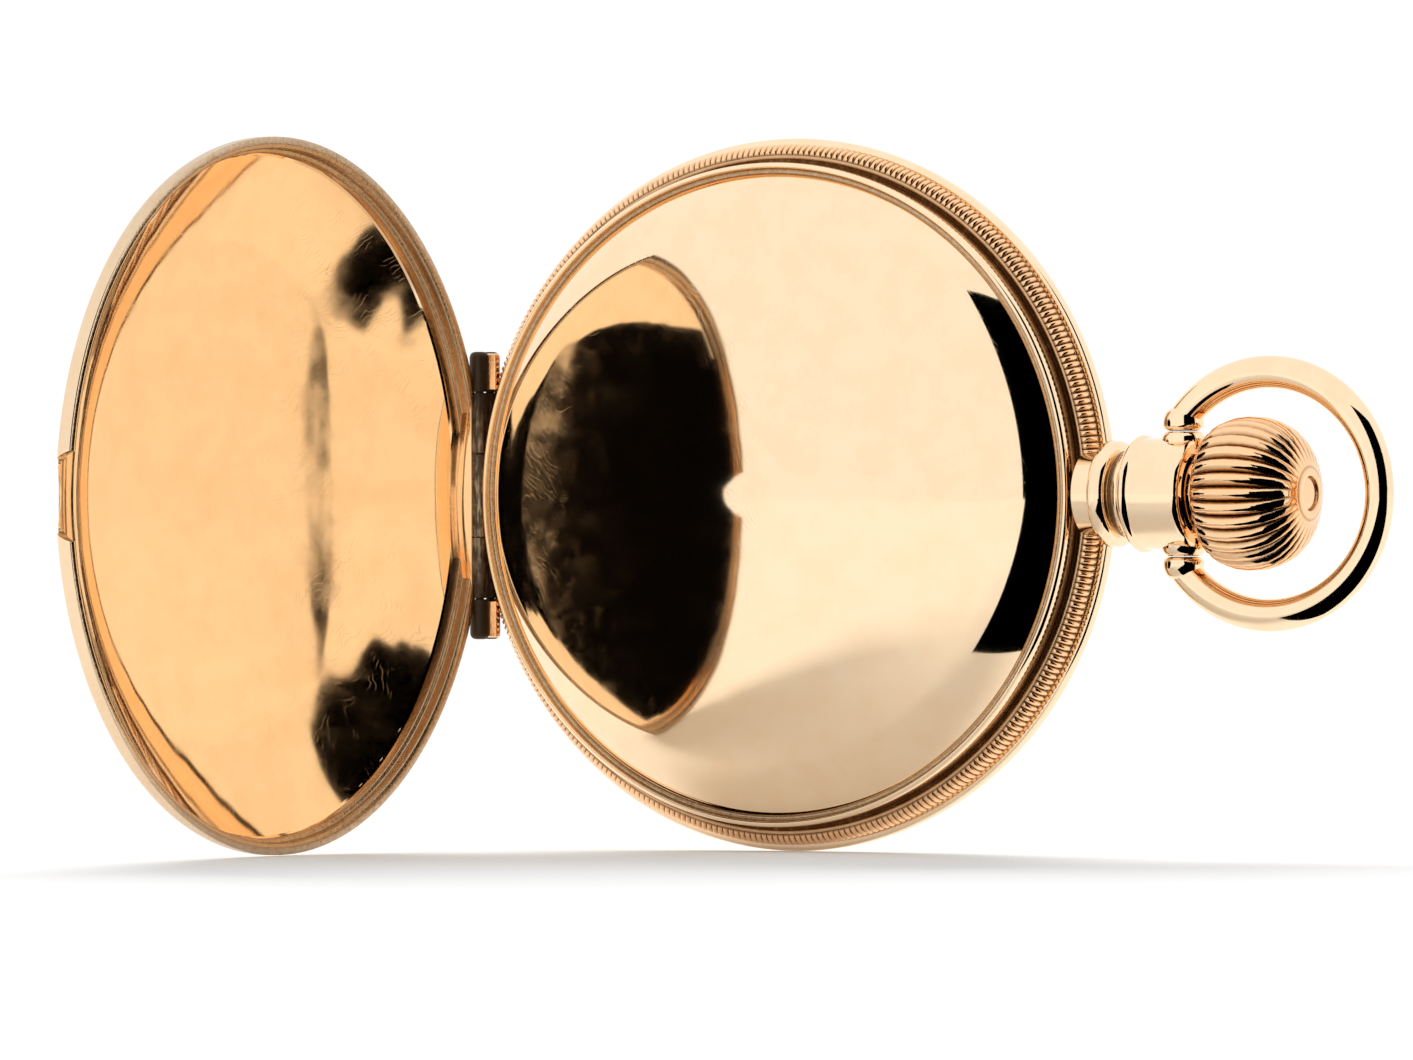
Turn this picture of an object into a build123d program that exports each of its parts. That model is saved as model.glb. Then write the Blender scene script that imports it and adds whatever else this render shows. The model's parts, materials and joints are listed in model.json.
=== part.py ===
"""Hunter pocket watch: hinged gold case, pendant and bow, and the lever movement that it holds.

The watch stands on its edge. +Z is up, along the hinges; the dial faces +Y and the back faces -Y;
the pendant points to +X. The origin is where the rim of the front cover meets the ground.
Heights are measured along +Y from the middle plane of the case.
"""
from math import acos, atan2, cos, degrees, hypot, radians, sin, sqrt
import os

from build123d import *

os.makedirs("parts", exist_ok=True)

# ---------------------------------------------------------------- driving dimensions, millimetres
# Case, from its widest ring inward
LIP_R = 28.7            # front cover lip, the widest ring, which the watch stands on
REED_STEP = 0.4         # how far the reeded edge stands inside the lip
REED_BEVEL = 0.8        # width of the reeds' bevel
REED_COUNT = 180
REED_DEPTH = 0.16
NECK_STEP = 1.7         # from the reeded edge in to the neck that the front cover closes over
SNAP_STEP = 2.1         # from the bevel in to the snap wall of the inner cover
BAND_BORE_R = 22.6      # bore that takes the movement
BACK_RIM_H = -1.5       # plane where the back cover closes on the case centre
HINGE_SPACING = 0.15    # between the knuckles of the two hinges
SNAP_WALL_RISE = 0.4    # height of the snap wall above that plane
COVER_WALL = 0.5
BACK_RIM_STEP = 0.1     # how far the back cover's rim stands inside the lip
RIM_LAND = 1.2          # width of the straight rim of a cover
DOME_RISE = 3.744       # rise that a flat dome would have if it ran out to the lip
BACK_SHOULDER = 9.6     # width of the back cover's shoulder, outside its flat dome
FRONT_SHOULDER = 6.7
BACK_OPENING = 95.0     # how far the back cover stands open, degrees

# Inner cover
CUVETTE_WALL = 0.4
CUVETTE_FLANGE_STEP = 0.8   # how far its flange stands inside the reeds' bevel
CUVETTE_FLANGE_WALL = 1.0
CUVETTE_FLANGE_RISE = 1.5
CUVETTE_SHOULDER = 5.2
CUVETTE_ROOM = 1.4      # between the balance cock and the inner cover
COVER_GAP = 0.4         # between the inner cover and the back cover

# Hinges
HINGE_INSET = 0.8       # how far a hinge's axis stands inside the lip
KNUCKLE_R = 0.8
HINGE_PIN_R = 0.35
HINGE_HALF = 11.7
LEAF_HALF = 8.4         # half length of a cover's leaf
MIDDLE_HALF = 3.4       # half length of the inner cover's knuckle
LEAF_WALL = 0.5
LEAF_LAP = 0.2          # how far a leaf laps over its knuckle
LEAF_DEPTH = 2.6
PIN_FIT = 0.03          # running clearance on a pin
KNUCKLE_GAP = 0.05      # clearance around and at each end of a knuckle

# Pendant, crown and bow
PENDANT_LENGTH = 8.4    # from the lip to the end of the sleeve
NECK_R = 3.4
NOTCH_FIT = 0.25        # clearance of the covers around the neck
COLLAR_R = 4.25
DISC_R = 3.75
COVE_R = 3.0
SLEEVE_R = 4.45
PENDANT_BORE_R = 2.2
CROWN_R = 6.1
CROWN_SWELL = 4.7       # from the sleeve's end to the crown's widest place
CROWN_LENGTH = 9.7
CROWN_BASE_R = 3.2
FLUTES = 30
FLUTE_DEPTH = 0.45
CROWN_TRAVEL = 0.8
BUTTON_R = 1.3
STEM_R = 0.6
BOW_PIVOT_INSET = 1.5   # from the sleeve's end back to the bow's pivots
BOW_R = 9.6             # centre line of the bow
BOW_LENGTH = 17.15      # from its pivots to its far end, on the centre line
BOW_WIRE_R = 1.25
BOW_STUD = 0.7          # share of the wire that turns in the pendant
BOSS_WALL = 0.6         # metal of the pendant's bosses around the wire
BOW_SOCKET_DEPTH = 0.9

# Movement: what stands behind what, from the stem to the cock
STEM_COVER = 1.025      # metal of the pillar plate above the stem's axis
PLATE_WALL = 1.6
TRAIN_ROOM = 2.3        # between the plates
TOP_PLATE_WALL = 0.9
BALANCE_ROOM = 0.8      # between the top plate and the balance cock
COCK_WALL = 0.6
MOTION_ROOM = 1.2       # between the pillar plate and the dial
DIAL_WALL = 0.8
MOVEMENT_FIT = 0.2      # clearance of the movement in the case
TOP_PLATE_STEP = 1.9    # how far the top plate stands inside the pillar plate
PILLAR_R = 1.0
PILLAR_INSET = 1.2      # from the top plate's edge in to the pillars
PILLAR_ANGLES = (18, 130, 203, 338)
CASE_SCREW_ANGLES = (75, 255)
CASE_SCREW_R = 0.5
PLATE_SCREW_R = 0.5
COCK_SCREW_R = 0.35
JEWEL_R = 0.9
ARBOR_R = 0.35
PIVOT_SHARE = 0.6       # a pivot's radius as a share of its arbor
PIVOT_FIT = 0.05
BARREL_ARBOR_R = 0.9
BARREL_R = 8.2
BARREL_WALL = 0.6
POST_R = 0.5            # studs that carry the minute wheel and the crown wheel
RUNNING_GAP = 0.1       # end shake between a wheel and the plate beside it

# Teeth: counts and modules
BARREL_TEETH, CENTRE_PINION_TEETH, BARREL_MODULE = 72, 12, 0.25
CENTRE_TEETH, THIRD_PINION_TEETH, CENTRE_MODULE = 80, 10, 0.20
THIRD_TEETH, FOURTH_PINION_TEETH, THIRD_MODULE = 75, 10, 0.18
FOURTH_TEETH, ESCAPE_PINION_TEETH, FOURTH_MODULE = 70, 7, 0.17
CANNON_TEETH, MINUTE_WHEEL_TEETH, CANNON_MODULE = 12, 36, 0.20
MINUTE_PINION_TEETH, HOUR_TEETH, HOUR_MODULE = 12, 48, 0.16
CROWN_WHEEL_TEETH, RATCHET_TEETH, RATCHET_MODULE = 35, 46, 0.25
WINDING_PINION_TEETH, CROWN_SLOTS, WINDING_PINION_R = 10, 28, 1.3
ESCAPE_TEETH, ESCAPE_R = 15, 3.8

# Dial, hands and glass
SECONDS_DIAL_Y = -11.0  # the seconds arbor, toward 6 o'clock
SECONDS_DIAL_R = 5.6
DIAL_FEET_ANGLES = (95, 215, 335)
HOUR_HAND = 11.5
MINUTE_HAND = 16.5
SECONDS_HAND = 5.0
HAND_WALL = 0.2
BEZEL_LEDGE = 0.8       # how far the bezel reaches in over the dial
BEZEL_FIT = 0.2         # clearance of the bezel inside the case centre's neck
BEZEL_RISE = 1.25
GLASS_SEAT = 1.2        # width of the glass's seat on the bezel
GLASS_SEAT_RISE = 0.7
GLASS_RISE = 3.7        # from the dial to the top of the glass
CRYSTAL_WALL = 0.6
GLASS_GAP = 0.7         # between the glass and the front cover

# Balance and escapement
BALANCE_R = 6.9
BALANCE_RIM = 0.7
BALANCE_SCREWS = 14
BALANCE_SCREW_HEAD = 0.5
COCK_FOOT_GAP = 0.17    # between the balance's screws and the cock's foot
COCK_FOOT = 2.6
PALLET_WALL = 0.25
REST_TIME = (10, 9, 36)  # hours, minutes and seconds that the hands show at rest

# ---------------------------------------------------------------- what follows from them
REED_R = LIP_R - REED_STEP
DOME_R = LIP_R**2 / (2 * DOME_RISE)
REED_INNER_R = REED_R - REED_BEVEL
BAND_NECK_R = REED_R - NECK_STEP
SNAP_R = REED_INNER_R - SNAP_STEP
BAND_BACK_H = BACK_RIM_H - SNAP_WALL_RISE
FRONT_RIM_H = BACK_RIM_H + 2 * KNUCKLE_R + HINGE_SPACING  # where the front cover closes on the case centre
BACK_RIM_R = LIP_R - BACK_RIM_STEP
BACK_REACH = BACK_RIM_R - BACK_SHOULDER
FRONT_REACH = LIP_R - FRONT_SHOULDER
CUVETTE_FLANGE_R = REED_INNER_R - CUVETTE_FLANGE_STEP
CUVETTE_FLANGE_TOP = BACK_RIM_H - CUVETTE_FLANGE_RISE
CUVETTE_REACH = CUVETTE_FLANGE_R - CUVETTE_SHOULDER
HINGE_X = HINGE_INSET - LIP_R
LEAF_X = HINGE_X + KNUCKLE_R - LEAF_LAP

PENDANT_H = (BACK_RIM_H + FRONT_RIM_H) / 2
SLEEVE_END_X = LIP_R + PENDANT_LENGTH
CROWN_X = SLEEVE_END_X + CROWN_SWELL
CROWN_END_X = SLEEVE_END_X + CROWN_LENGTH
BOW_PIVOT_X = SLEEVE_END_X - BOW_PIVOT_INSET
BOW_RIGHT_X = BOW_PIVOT_X + BOW_LENGTH

PLATE_R = BAND_BORE_R - MOVEMENT_FIT
TOP_PLATE_R = PLATE_R - TOP_PLATE_STEP
PILLAR_CIRCLE_R = TOP_PLATE_R - PILLAR_INSET
PLATE_FRONT_H = PENDANT_H + STEM_COVER
PLATE_BACK_H = PLATE_FRONT_H - PLATE_WALL
TOP_PLATE_INNER_H = PLATE_BACK_H - TRAIN_ROOM
TOP_PLATE_OUTER_H = TOP_PLATE_INNER_H - TOP_PLATE_WALL
COCK_H = TOP_PLATE_OUTER_H - BALANCE_ROOM
COCK_BACK_H = COCK_H - COCK_WALL
CUVETTE_APEX_H = COCK_BACK_H - CUVETTE_ROOM - CUVETTE_WALL
BACK_APEX_H = CUVETTE_APEX_H - COVER_GAP - COVER_WALL

DIAL_R = PLATE_R
DIAL_BACK_H = PLATE_FRONT_H + MOTION_ROOM
DIAL_FRONT_H = DIAL_BACK_H + DIAL_WALL
BAND_TOP_H = DIAL_FRONT_H
BEZEL_OUTER_R = BAND_NECK_R - BEZEL_FIT
BEZEL_OPENING_R = BAND_BORE_R - BEZEL_LEDGE
BEZEL_TOP_H = BAND_TOP_H + BEZEL_RISE
GLASS_SEAT_H = BAND_TOP_H + GLASS_SEAT_RISE
CRYSTAL_R = BEZEL_OPENING_R + GLASS_SEAT
CRYSTAL_APEX_H = DIAL_FRONT_H + GLASS_RISE
FRONT_APEX_H = CRYSTAL_APEX_H + GLASS_GAP + COVER_WALL

# Levels between the plates: some are counted from the top plate, the others from the pillar plate
ARBOR_START_H = TOP_PLATE_INNER_H + RUNNING_GAP
FOURTH_PINION_H = TOP_PLATE_INNER_H + 0.2
LEVER_H = TOP_PLATE_INNER_H + 0.3       # also the third wheel and the escape wheel
THIRD_WHEEL_H = LEVER_H
BARREL_TEETH_H = PLATE_BACK_H - 1.15
FOURTH_WHEEL_H = PLATE_BACK_H - 1.25
ESCAPE_PINION_H = PLATE_BACK_H - 1.5
THIRD_PINION_H = PLATE_BACK_H - 0.7
CENTRE_WHEEL_H = PLATE_BACK_H - 0.5
ARBOR_END_H = PLATE_BACK_H - RUNNING_GAP
ARBOR_SEAT_H = PLATE_BACK_H + 0.6       # ends of the pivots that run in the pillar plate
TRAIN_WALL = 0.35                       # thickness of a wheel
CENTRE_END_H = DIAL_FRONT_H + 0.5       # dial ends of the centre and fourth arbors
# Levels under the dial
POST_TOP_H = PLATE_FRONT_H + 0.55
RATCHET_H = PLATE_FRONT_H + 0.55
CROWN_WHEEL_H = PLATE_FRONT_H + 0.6
HOUR_WHEEL_H = PLATE_FRONT_H + 0.6
CANNON_H = PLATE_FRONT_H + RUNNING_GAP
MINUTE_WHEEL_H = PLATE_FRONT_H + 0.15
SECONDS_HAND_H = DIAL_FRONT_H + 0.1
HOUR_HAND_H = DIAL_FRONT_H + 0.45
MINUTE_HAND_H = DIAL_FRONT_H + 1.0

CENTRE_Z = LIP_R        # height of the case's middle above the ground
CENTRE = (0.0, 0.0)


# ---------------------------------------------------------------- places
def face_plane(height, at=CENTRE, turn=0.0):
    """Plane across a shaft at a dial position: x toward 3 o'clock, y toward 12 o'clock, facing the dial."""
    return Plane(
        origin=(at[0], height, CENTRE_Z - at[1]),
        x_dir=(cos(radians(turn)), 0, -sin(radians(turn))),
        z_dir=(0, 1, 0),
    )


def section_plane(at=CENTRE):
    """Plane through a shaft: x is the radius and y is the height."""
    return Plane(origin=(at[0], 0, CENTRE_Z - at[1]), x_dir=(1, 0, 0), z_dir=(0, 0, 1))


def radial_plane(angle):
    """Plane through the middle shaft along a direction: x is the distance from the middle, y the height."""
    c, s = cos(radians(angle)), sin(radians(angle))
    return Plane(origin=(0, 0, CENTRE_Z), x_dir=(c, 0, -s), z_dir=(s, 0, c))


def shaft(at=CENTRE):
    """Axis of a shaft that stands at a dial position."""
    return Axis((at[0], 0, CENTRE_Z - at[1]), (0, 1, 0))


def polar(radius, angle):
    """Dial position at a radius and an angle in degrees, counted from 3 o'clock toward 12 o'clock."""
    return (radius * cos(radians(angle)), radius * sin(radians(angle)))


def bearing(start, end):
    """Angle in degrees of the line from one dial position to another."""
    return degrees(atan2(end[1] - start[1], end[0] - start[0]))


def mesh_distance(teeth, pinion_teeth, module):
    """Distance between the shafts of a wheel and its pinion."""
    return module * (teeth + pinion_teeth) / 2


def meeting_point(start, start_r, end, end_r, side):
    """Point at given distances from two dial positions, on the left (1) or right (-1) of their line."""
    span = hypot(end[0] - start[0], end[1] - start[1])
    along = (span**2 + start_r**2 - end_r**2) / (2 * span)
    across = side * sqrt(start_r**2 - along**2)
    ux, uy = (end[0] - start[0]) / span, (end[1] - start[1]) / span
    return (start[0] + along * ux - across * uy, start[1] + along * uy + across * ux)


def sag(radius, curvature=DOME_R):
    """Drop of a dome of the given curvature at a radius from its apex."""
    return curvature - sqrt(curvature**2 - radius**2)


REAR_HINGE = Axis((HINGE_X, BACK_RIM_H, 0), (0, 0, 1))
FRONT_HINGE = Axis((HINGE_X, FRONT_RIM_H, 0), (0, 0, 1))
PENDANT_PLANE = Plane(origin=(0, PENDANT_H, CENTRE_Z), x_dir=(1, 0, 0), z_dir=(0, -1, 0))
PENDANT_AXIS = Axis((0, PENDANT_H, CENTRE_Z), (1, 0, 0))

FOURTH = (0.0, SECONDS_DIAL_Y)
THIRD = meeting_point(
    CENTRE,
    mesh_distance(CENTRE_TEETH, THIRD_PINION_TEETH, CENTRE_MODULE),
    FOURTH,
    mesh_distance(THIRD_TEETH, FOURTH_PINION_TEETH, THIRD_MODULE),
    -1,
)
CASE_SCREWS = [polar(PLATE_R - 1.1, angle) for angle in CASE_SCREW_ANGLES]
PILLARS = [polar(PILLAR_CIRCLE_R, angle) for angle in PILLAR_ANGLES]
BARREL = polar(mesh_distance(BARREL_TEETH, CENTRE_PINION_TEETH, BARREL_MODULE), 47.9)
ESCAPE_OFFSET = polar(mesh_distance(FOURTH_TEETH, ESCAPE_PINION_TEETH, FOURTH_MODULE), -31.3)
ESCAPE = (FOURTH[0] + ESCAPE_OFFSET[0], FOURTH[1] + ESCAPE_OFFSET[1])
PALLET = (9.3, -11.6)
BALANCE = (6.3, -7.8)
MINUTE_WHEEL = (-mesh_distance(MINUTE_WHEEL_TEETH, CANNON_TEETH, CANNON_MODULE), 0.0)
CROWN_REACH = mesh_distance(CROWN_WHEEL_TEETH, RATCHET_TEETH, RATCHET_MODULE)
CROWN_WHEEL = (BARREL[0] + sqrt(CROWN_REACH**2 - BARREL[1] ** 2), 0.0)
JEWELS = (CENTRE, THIRD, FOURTH, ESCAPE, PALLET)
PIVOT_R = ARBOR_R * PIVOT_SHARE
PALLET_ARBOR_R = PIVOT_R + 0.04
COCK_JEWEL_R = 0.5
CANNON_PIPE_R = ARBOR_R + 0.5
HOUR_PIPE_R = CANNON_PIPE_R + TRAIN_WALL


# ---------------------------------------------------------------- shapes used again and again
def turned(outline, at=CENTRE, mode=Mode.ADD):
    """Revolve a closed (radius, height) outline about the shaft at a dial position."""
    with BuildSketch(section_plane(at), mode=Mode.PRIVATE) as profile:
        with BuildLine():
            Polyline(*outline, close=True)
        make_face()
    revolve(profile.sketch, axis=shaft(at), mode=mode)


def ring(outer, inner, low, high, at=CENTRE, mode=Mode.ADD):
    """Ring about a shaft, or a disc where the inner radius is 0."""
    turned([(inner, low), (outer, low), (outer, high), (inner, high)], at, mode)


def turned_along(outline, mode=Mode.ADD):
    """Revolve a closed (x, radius) outline about the pendant's axis."""
    with BuildSketch(PENDANT_PLANE, mode=Mode.PRIVATE) as profile:
        with BuildLine():
            Polyline(*outline, close=True)
        make_face()
    revolve(profile.sketch, axis=PENDANT_AXIS, mode=mode)


def slab(x_low, x_high, h_low, h_high, half, mode=Mode.ADD, middle=0.0):
    """Box between two x values and two heights, reaching a half length to each side of a level."""
    with BuildSketch(Plane.XY.offset(CENTRE_Z + middle - half), mode=Mode.PRIVATE) as profile:
        with Locations(((x_low + x_high) / 2, (h_low + h_high) / 2)):
            Rectangle(x_high - x_low, h_high - h_low)
    extrude(profile.sketch, amount=2 * half, mode=mode)


def knuckle(hinge, low, high, radius, mode=Mode.ADD):
    """Cylinder about a hinge between two levels, counted from the middle of the case."""
    base = Plane(origin=(hinge.position.X, hinge.position.Y, CENTRE_Z + low), z_dir=(0, 0, 1))
    with BuildSketch(base, mode=Mode.PRIVATE) as profile:
        Circle(radius)
    extrude(profile.sketch, amount=high - low, mode=mode)


def tooth_ring(teeth, root_r, tip_r, root_width, tip_width, phase=0.0):
    """Add tapered teeth around a disc of the root radius to the sketch being drawn."""
    bite = root_r - sqrt(root_r**2 - (root_width / 2) ** 2) + 0.02
    corners = [
        (root_r - bite, -root_width / 2),
        (tip_r, -tip_width / 2),
        (tip_r, tip_width / 2),
        (root_r - bite, root_width / 2),
    ]
    with PolarLocations(0, teeth, start_angle=phase):
        Polygon(*corners, align=None)


def gear_outline(teeth, module, phase=0.0):
    """Draw a gear's disc and its teeth; a tooth points along the phase angle."""
    pitch_r = module * teeth / 2
    root_r = pitch_r - 1.15 * module
    Circle(root_r)
    tooth_ring(teeth, root_r, pitch_r + 0.75 * module, 1.45 * module, 0.45 * module, phase)


def wheel(teeth, module, at, low, phase, arms=5, hub_r=1.5, rim=0.9):
    """Crossed-out toothed wheel: rim, arms and hub about a shaft."""
    window_out = module * teeth / 2 - 1.15 * module - rim
    with BuildSketch(face_plane(low, at), mode=Mode.PRIVATE) as outline:
        gear_outline(teeth, module, phase)
        Circle(window_out, mode=Mode.SUBTRACT)
        with PolarLocations(0, arms):
            Polygon((0, -0.45), (window_out + 0.1, -0.3), (window_out + 0.1, 0.3), (0, 0.45), align=None)
        Circle(hub_r)
        Circle(ARBOR_R, mode=Mode.SUBTRACT)
    extrude(outline.sketch, amount=TRAIN_WALL)


def pinion(teeth, module, at, low, high, phase):
    """Solid pinion about a shaft."""
    with BuildSketch(face_plane(low, at), mode=Mode.PRIVATE) as outline:
        gear_outline(teeth, module, phase)
    extrude(outline.sketch, amount=high - low)


def coil(at, height, thickness, inner_r, pitch, half_turns, wall):
    """Flat spiral strip made of half turns whose middles lie half a pitch apart by turns."""
    with BuildSketch(face_plane(height, at), mode=Mode.PRIVATE) as strip:
        with BuildLine():
            for edge in (-wall / 2, wall / 2):
                for number in range(half_turns):
                    middle = (number % 2) * pitch / 2
                    CenterArc((middle, 0), inner_r + number * pitch / 2 + edge, 180 * (number % 2), 180)
            last = half_turns - 1
            outer_r = inner_r + last * pitch / 2
            outer_x = (last % 2) * pitch / 2 + (outer_r if last % 2 else -outer_r)
            Line((inner_r - wall / 2, 0), (inner_r + wall / 2, 0))
            Line((outer_x - wall / 2, 0), (outer_x + wall / 2, 0))
        make_face()
    extrude(strip.sketch, amount=thickness)


def hand_outline(length, width, hub_r, tail):
    """Draw a slender spade-shaped hand that points to 12 o'clock, with its hub and tail."""
    Circle(hub_r)
    spade = length * 0.72
    Polygon((-width * 0.3, 0), (width * 0.3, 0), (width * 0.22, spade), (-width * 0.22, spade), align=None)
    with Locations((0, spade)):
        Ellipse(width * 0.75, width)
    Polygon((-width * 0.3, spade), (width * 0.3, spade), (0, length), align=None)
    Polygon((-width * 0.25, 0), (width * 0.25, 0), (width * 0.3, -tail), (-width * 0.3, -tail), align=None)


def facing_mesh(start, end, teeth):
    """Phase that puts a tooth gap of the second gear opposite the tooth of the first."""
    return bearing(end, start) + 180 / teeth


# ---------------------------------------------------------------- covers
def dome_face(towards, apex, wall, reach, foot, rim):
    """Face of a domed cover in the section plane.

    The cover bulges toward +1 (dial) or -1 (back). The outer and inner skins run from the axis over a
    flat dome to the reach, then over a shoulder to the outer and inner feet, and the rim closes them.
    """
    (foot_outer, foot_inner) = foot
    with BuildSketch(section_plane(), mode=Mode.PRIVATE) as profile:
        with BuildLine():
            for top, end in ((apex, foot_outer), (apex - towards * wall, foot_inner)):
                cap = ThreePointArc(
                    (0, top),
                    (reach / 2, top - towards * sag(reach / 2)),
                    (reach, top - towards * sag(reach)),
                )
                TangentArc(cap @ 1, end, tangent=cap % 1)
            Line((0, apex), (0, apex - towards * wall))
            Polyline(foot_outer, *rim, foot_inner)
        make_face()
    return profile.sketch


def pendant_notch():
    """Cut the crescent that lets a cover close around the pendant's neck."""
    with BuildSketch(Plane(origin=(REED_INNER_R - 2.2, PENDANT_H, CENTRE_Z), z_dir=(1, 0, 0)),
                     mode=Mode.PRIVATE) as notch:
        Circle(NECK_R + NOTCH_FIT)
    extrude(notch.sketch, amount=4.0, mode=Mode.SUBTRACT)


def cover_leaf(hinge, towards):
    """Flat leaf between a cover's skin and its hinge, with the trimmed rim beside it."""
    rim = hinge.position.Y
    slab(HINGE_X - LEAF_DEPTH, LEAF_X, rim - LEAF_DEPTH, rim + LEAF_DEPTH, LEAF_HALF + 4 * KNUCKLE_GAP,
         mode=Mode.SUBTRACT)
    knuckle(hinge, -HINGE_HALF - 0.1, HINGE_HALF + 0.1, KNUCKLE_R + KNUCKLE_GAP, Mode.SUBTRACT)
    low, high = sorted((rim + towards * KNUCKLE_GAP, rim + towards * LEAF_DEPTH))
    slab(LEAF_X, LEAF_X + LEAF_WALL, low, high, LEAF_HALF - KNUCKLE_GAP)


# ---------------------------------------------------------------- case
with BuildPart() as case_center:
    turned([
        (BAND_BORE_R, BAND_BACK_H),
        (SNAP_R, BAND_BACK_H),
        (SNAP_R, BACK_RIM_H),
        (REED_INNER_R, BACK_RIM_H),
        (REED_R, BACK_RIM_H + 1.35),
        (REED_R, FRONT_RIM_H - 0.25),
        (REED_R - 0.3, FRONT_RIM_H - 0.05),
        (BAND_NECK_R, FRONT_RIM_H - 0.05),
        (BAND_NECK_R, BAND_TOP_H),
        (BAND_BORE_R, BAND_TOP_H),
    ])
    with BuildSketch(face_plane(BACK_RIM_H - 0.5), mode=Mode.PRIVATE) as reeds:
        with PolarLocations(REED_R + 0.06, REED_COUNT):
            Circle(REED_DEPTH + 0.06)
    extrude(reeds.sketch, amount=FRONT_RIM_H - BACK_RIM_H + 0.4, mode=Mode.SUBTRACT)
    # seat for the hinges
    slab(HINGE_X - 2, HINGE_X + KNUCKLE_R + 0.2, BAND_BACK_H - 0.5, BAND_TOP_H - 0.3, HINGE_HALF + 0.1,
         mode=Mode.SUBTRACT)
    slab(HINGE_X - 2, HINGE_X + 2.15, BAND_BACK_H - 0.1, BACK_RIM_H + 0.8, MIDDLE_HALF, mode=Mode.SUBTRACT)
    for hinge in (REAR_HINGE, FRONT_HINGE):
        for side in (-1, 1):
            low, high = sorted((side * (LEAF_HALF + KNUCKLE_GAP), side * HINGE_HALF))
            knuckle(hinge, low, high, KNUCKLE_R)
            knuckle(hinge, low - 0.1, high + 0.1, HINGE_PIN_R, Mode.SUBTRACT)
    for side in (-1, 1):
        slab(HINGE_X, HINGE_X + KNUCKLE_R + 0.25, BACK_RIM_H + 0.6, FRONT_RIM_H - 0.35,
             (HINGE_HALF - LEAF_HALF) / 2 - 0.1, middle=side * (HINGE_HALF + LEAF_HALF) / 2)
    # hole for the pendant's tail
    turned_along([(BAND_BORE_R - 1, 0), (REED_R + 1, 0), (REED_R + 1, NECK_R), (REED_R - 0.8, NECK_R),
                  (REED_R - 0.8, PENDANT_BORE_R), (BAND_BORE_R - 1, PENDANT_BORE_R)], Mode.SUBTRACT)
    # channel for the lid catch
    slab(BAND_BORE_R - 0.5, BAND_NECK_R + 0.5, PENDANT_H, FRONT_RIM_H + 1.6, 1.15, mode=Mode.SUBTRACT)
    # groove and port for the lift spring
    ring(BAND_BORE_R + 1.0, BAND_BORE_R - 0.5, 0.5, 1.5, mode=Mode.SUBTRACT)
    slab(HINGE_X, 0.5 - BAND_BORE_R, 0.5, 1.5, 1.0, mode=Mode.SUBTRACT)
    # threads' seats for the case screws
    for spot in CASE_SCREWS:
        ring(CASE_SCREW_R + PIVOT_FIT, 0, BAND_BACK_H - 1, PLATE_FRONT_H, spot, Mode.SUBTRACT)

with BuildPart() as pendant:
    with BuildSketch(PENDANT_PLANE, mode=Mode.PRIVATE) as profile:
        with BuildLine():
            Polyline((REED_R - 0.8, PENDANT_BORE_R), (REED_R - 0.8, NECK_R), (LIP_R + 0.15, NECK_R),
                     (LIP_R + 0.15, COLLAR_R - 0.7))
            ThreePointArc((LIP_R + 0.15, COLLAR_R - 0.7), (LIP_R + 0.95, COLLAR_R),
                          (LIP_R + 1.75, COLLAR_R - 0.7))
            Line((LIP_R + 1.75, COLLAR_R - 0.7), (LIP_R + 1.75, DISC_R - 0.35))
            ThreePointArc((LIP_R + 1.75, DISC_R - 0.35), (LIP_R + 2.05, COVE_R),
                          (LIP_R + 2.35, DISC_R - 0.15))
            Polyline((LIP_R + 2.35, DISC_R - 0.15), (LIP_R + 2.5, DISC_R), (LIP_R + 2.95, DISC_R),
                     (LIP_R + 2.95, COVE_R + 0.2), (LIP_R + 3.15, COVE_R + 0.2),
                     (LIP_R + 3.15, SLEEVE_R - 0.1))
            ThreePointArc((LIP_R + 3.15, SLEEVE_R - 0.1), (LIP_R + 3.5, SLEEVE_R + 0.25),
                          (LIP_R + 3.85, SLEEVE_R - 0.1))
            Polyline((LIP_R + 3.85, SLEEVE_R - 0.1), (LIP_R + 3.95, SLEEVE_R), (SLEEVE_END_X - 0.3, SLEEVE_R),
                     (SLEEVE_END_X, SLEEVE_R - 0.3), (SLEEVE_END_X, CROWN_BASE_R + 0.25),
                     (SLEEVE_END_X - 1.2, CROWN_BASE_R + 0.25), (SLEEVE_END_X - 1.2, PENDANT_BORE_R),
                     (REED_R - 0.8, PENDANT_BORE_R))
        make_face()
    revolve(profile.sketch, axis=PENDANT_AXIS)
    for side in (-1, 1):
        ear = Plane(origin=(BOW_PIVOT_X, PENDANT_H, CENTRE_Z), z_dir=(0, 0, side))
        with BuildSketch(ear.offset(SLEEVE_R - 1.2), mode=Mode.PRIVATE) as boss:
            Circle(BOW_WIRE_R + BOSS_WALL)
        extrude(boss.sketch, amount=1.65, taper=6)
        socket = Plane(origin=(BOW_PIVOT_X, PENDANT_H, CENTRE_Z), z_dir=(0, 0, side))
        with BuildSketch(socket.offset(SLEEVE_R + 0.45 - BOW_SOCKET_DEPTH), mode=Mode.PRIVATE) as hole:
            Circle(BOW_WIRE_R * BOW_STUD + PIN_FIT)
        extrude(hole.sketch, amount=BOW_SOCKET_DEPTH + 0.1, mode=Mode.SUBTRACT)

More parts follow.
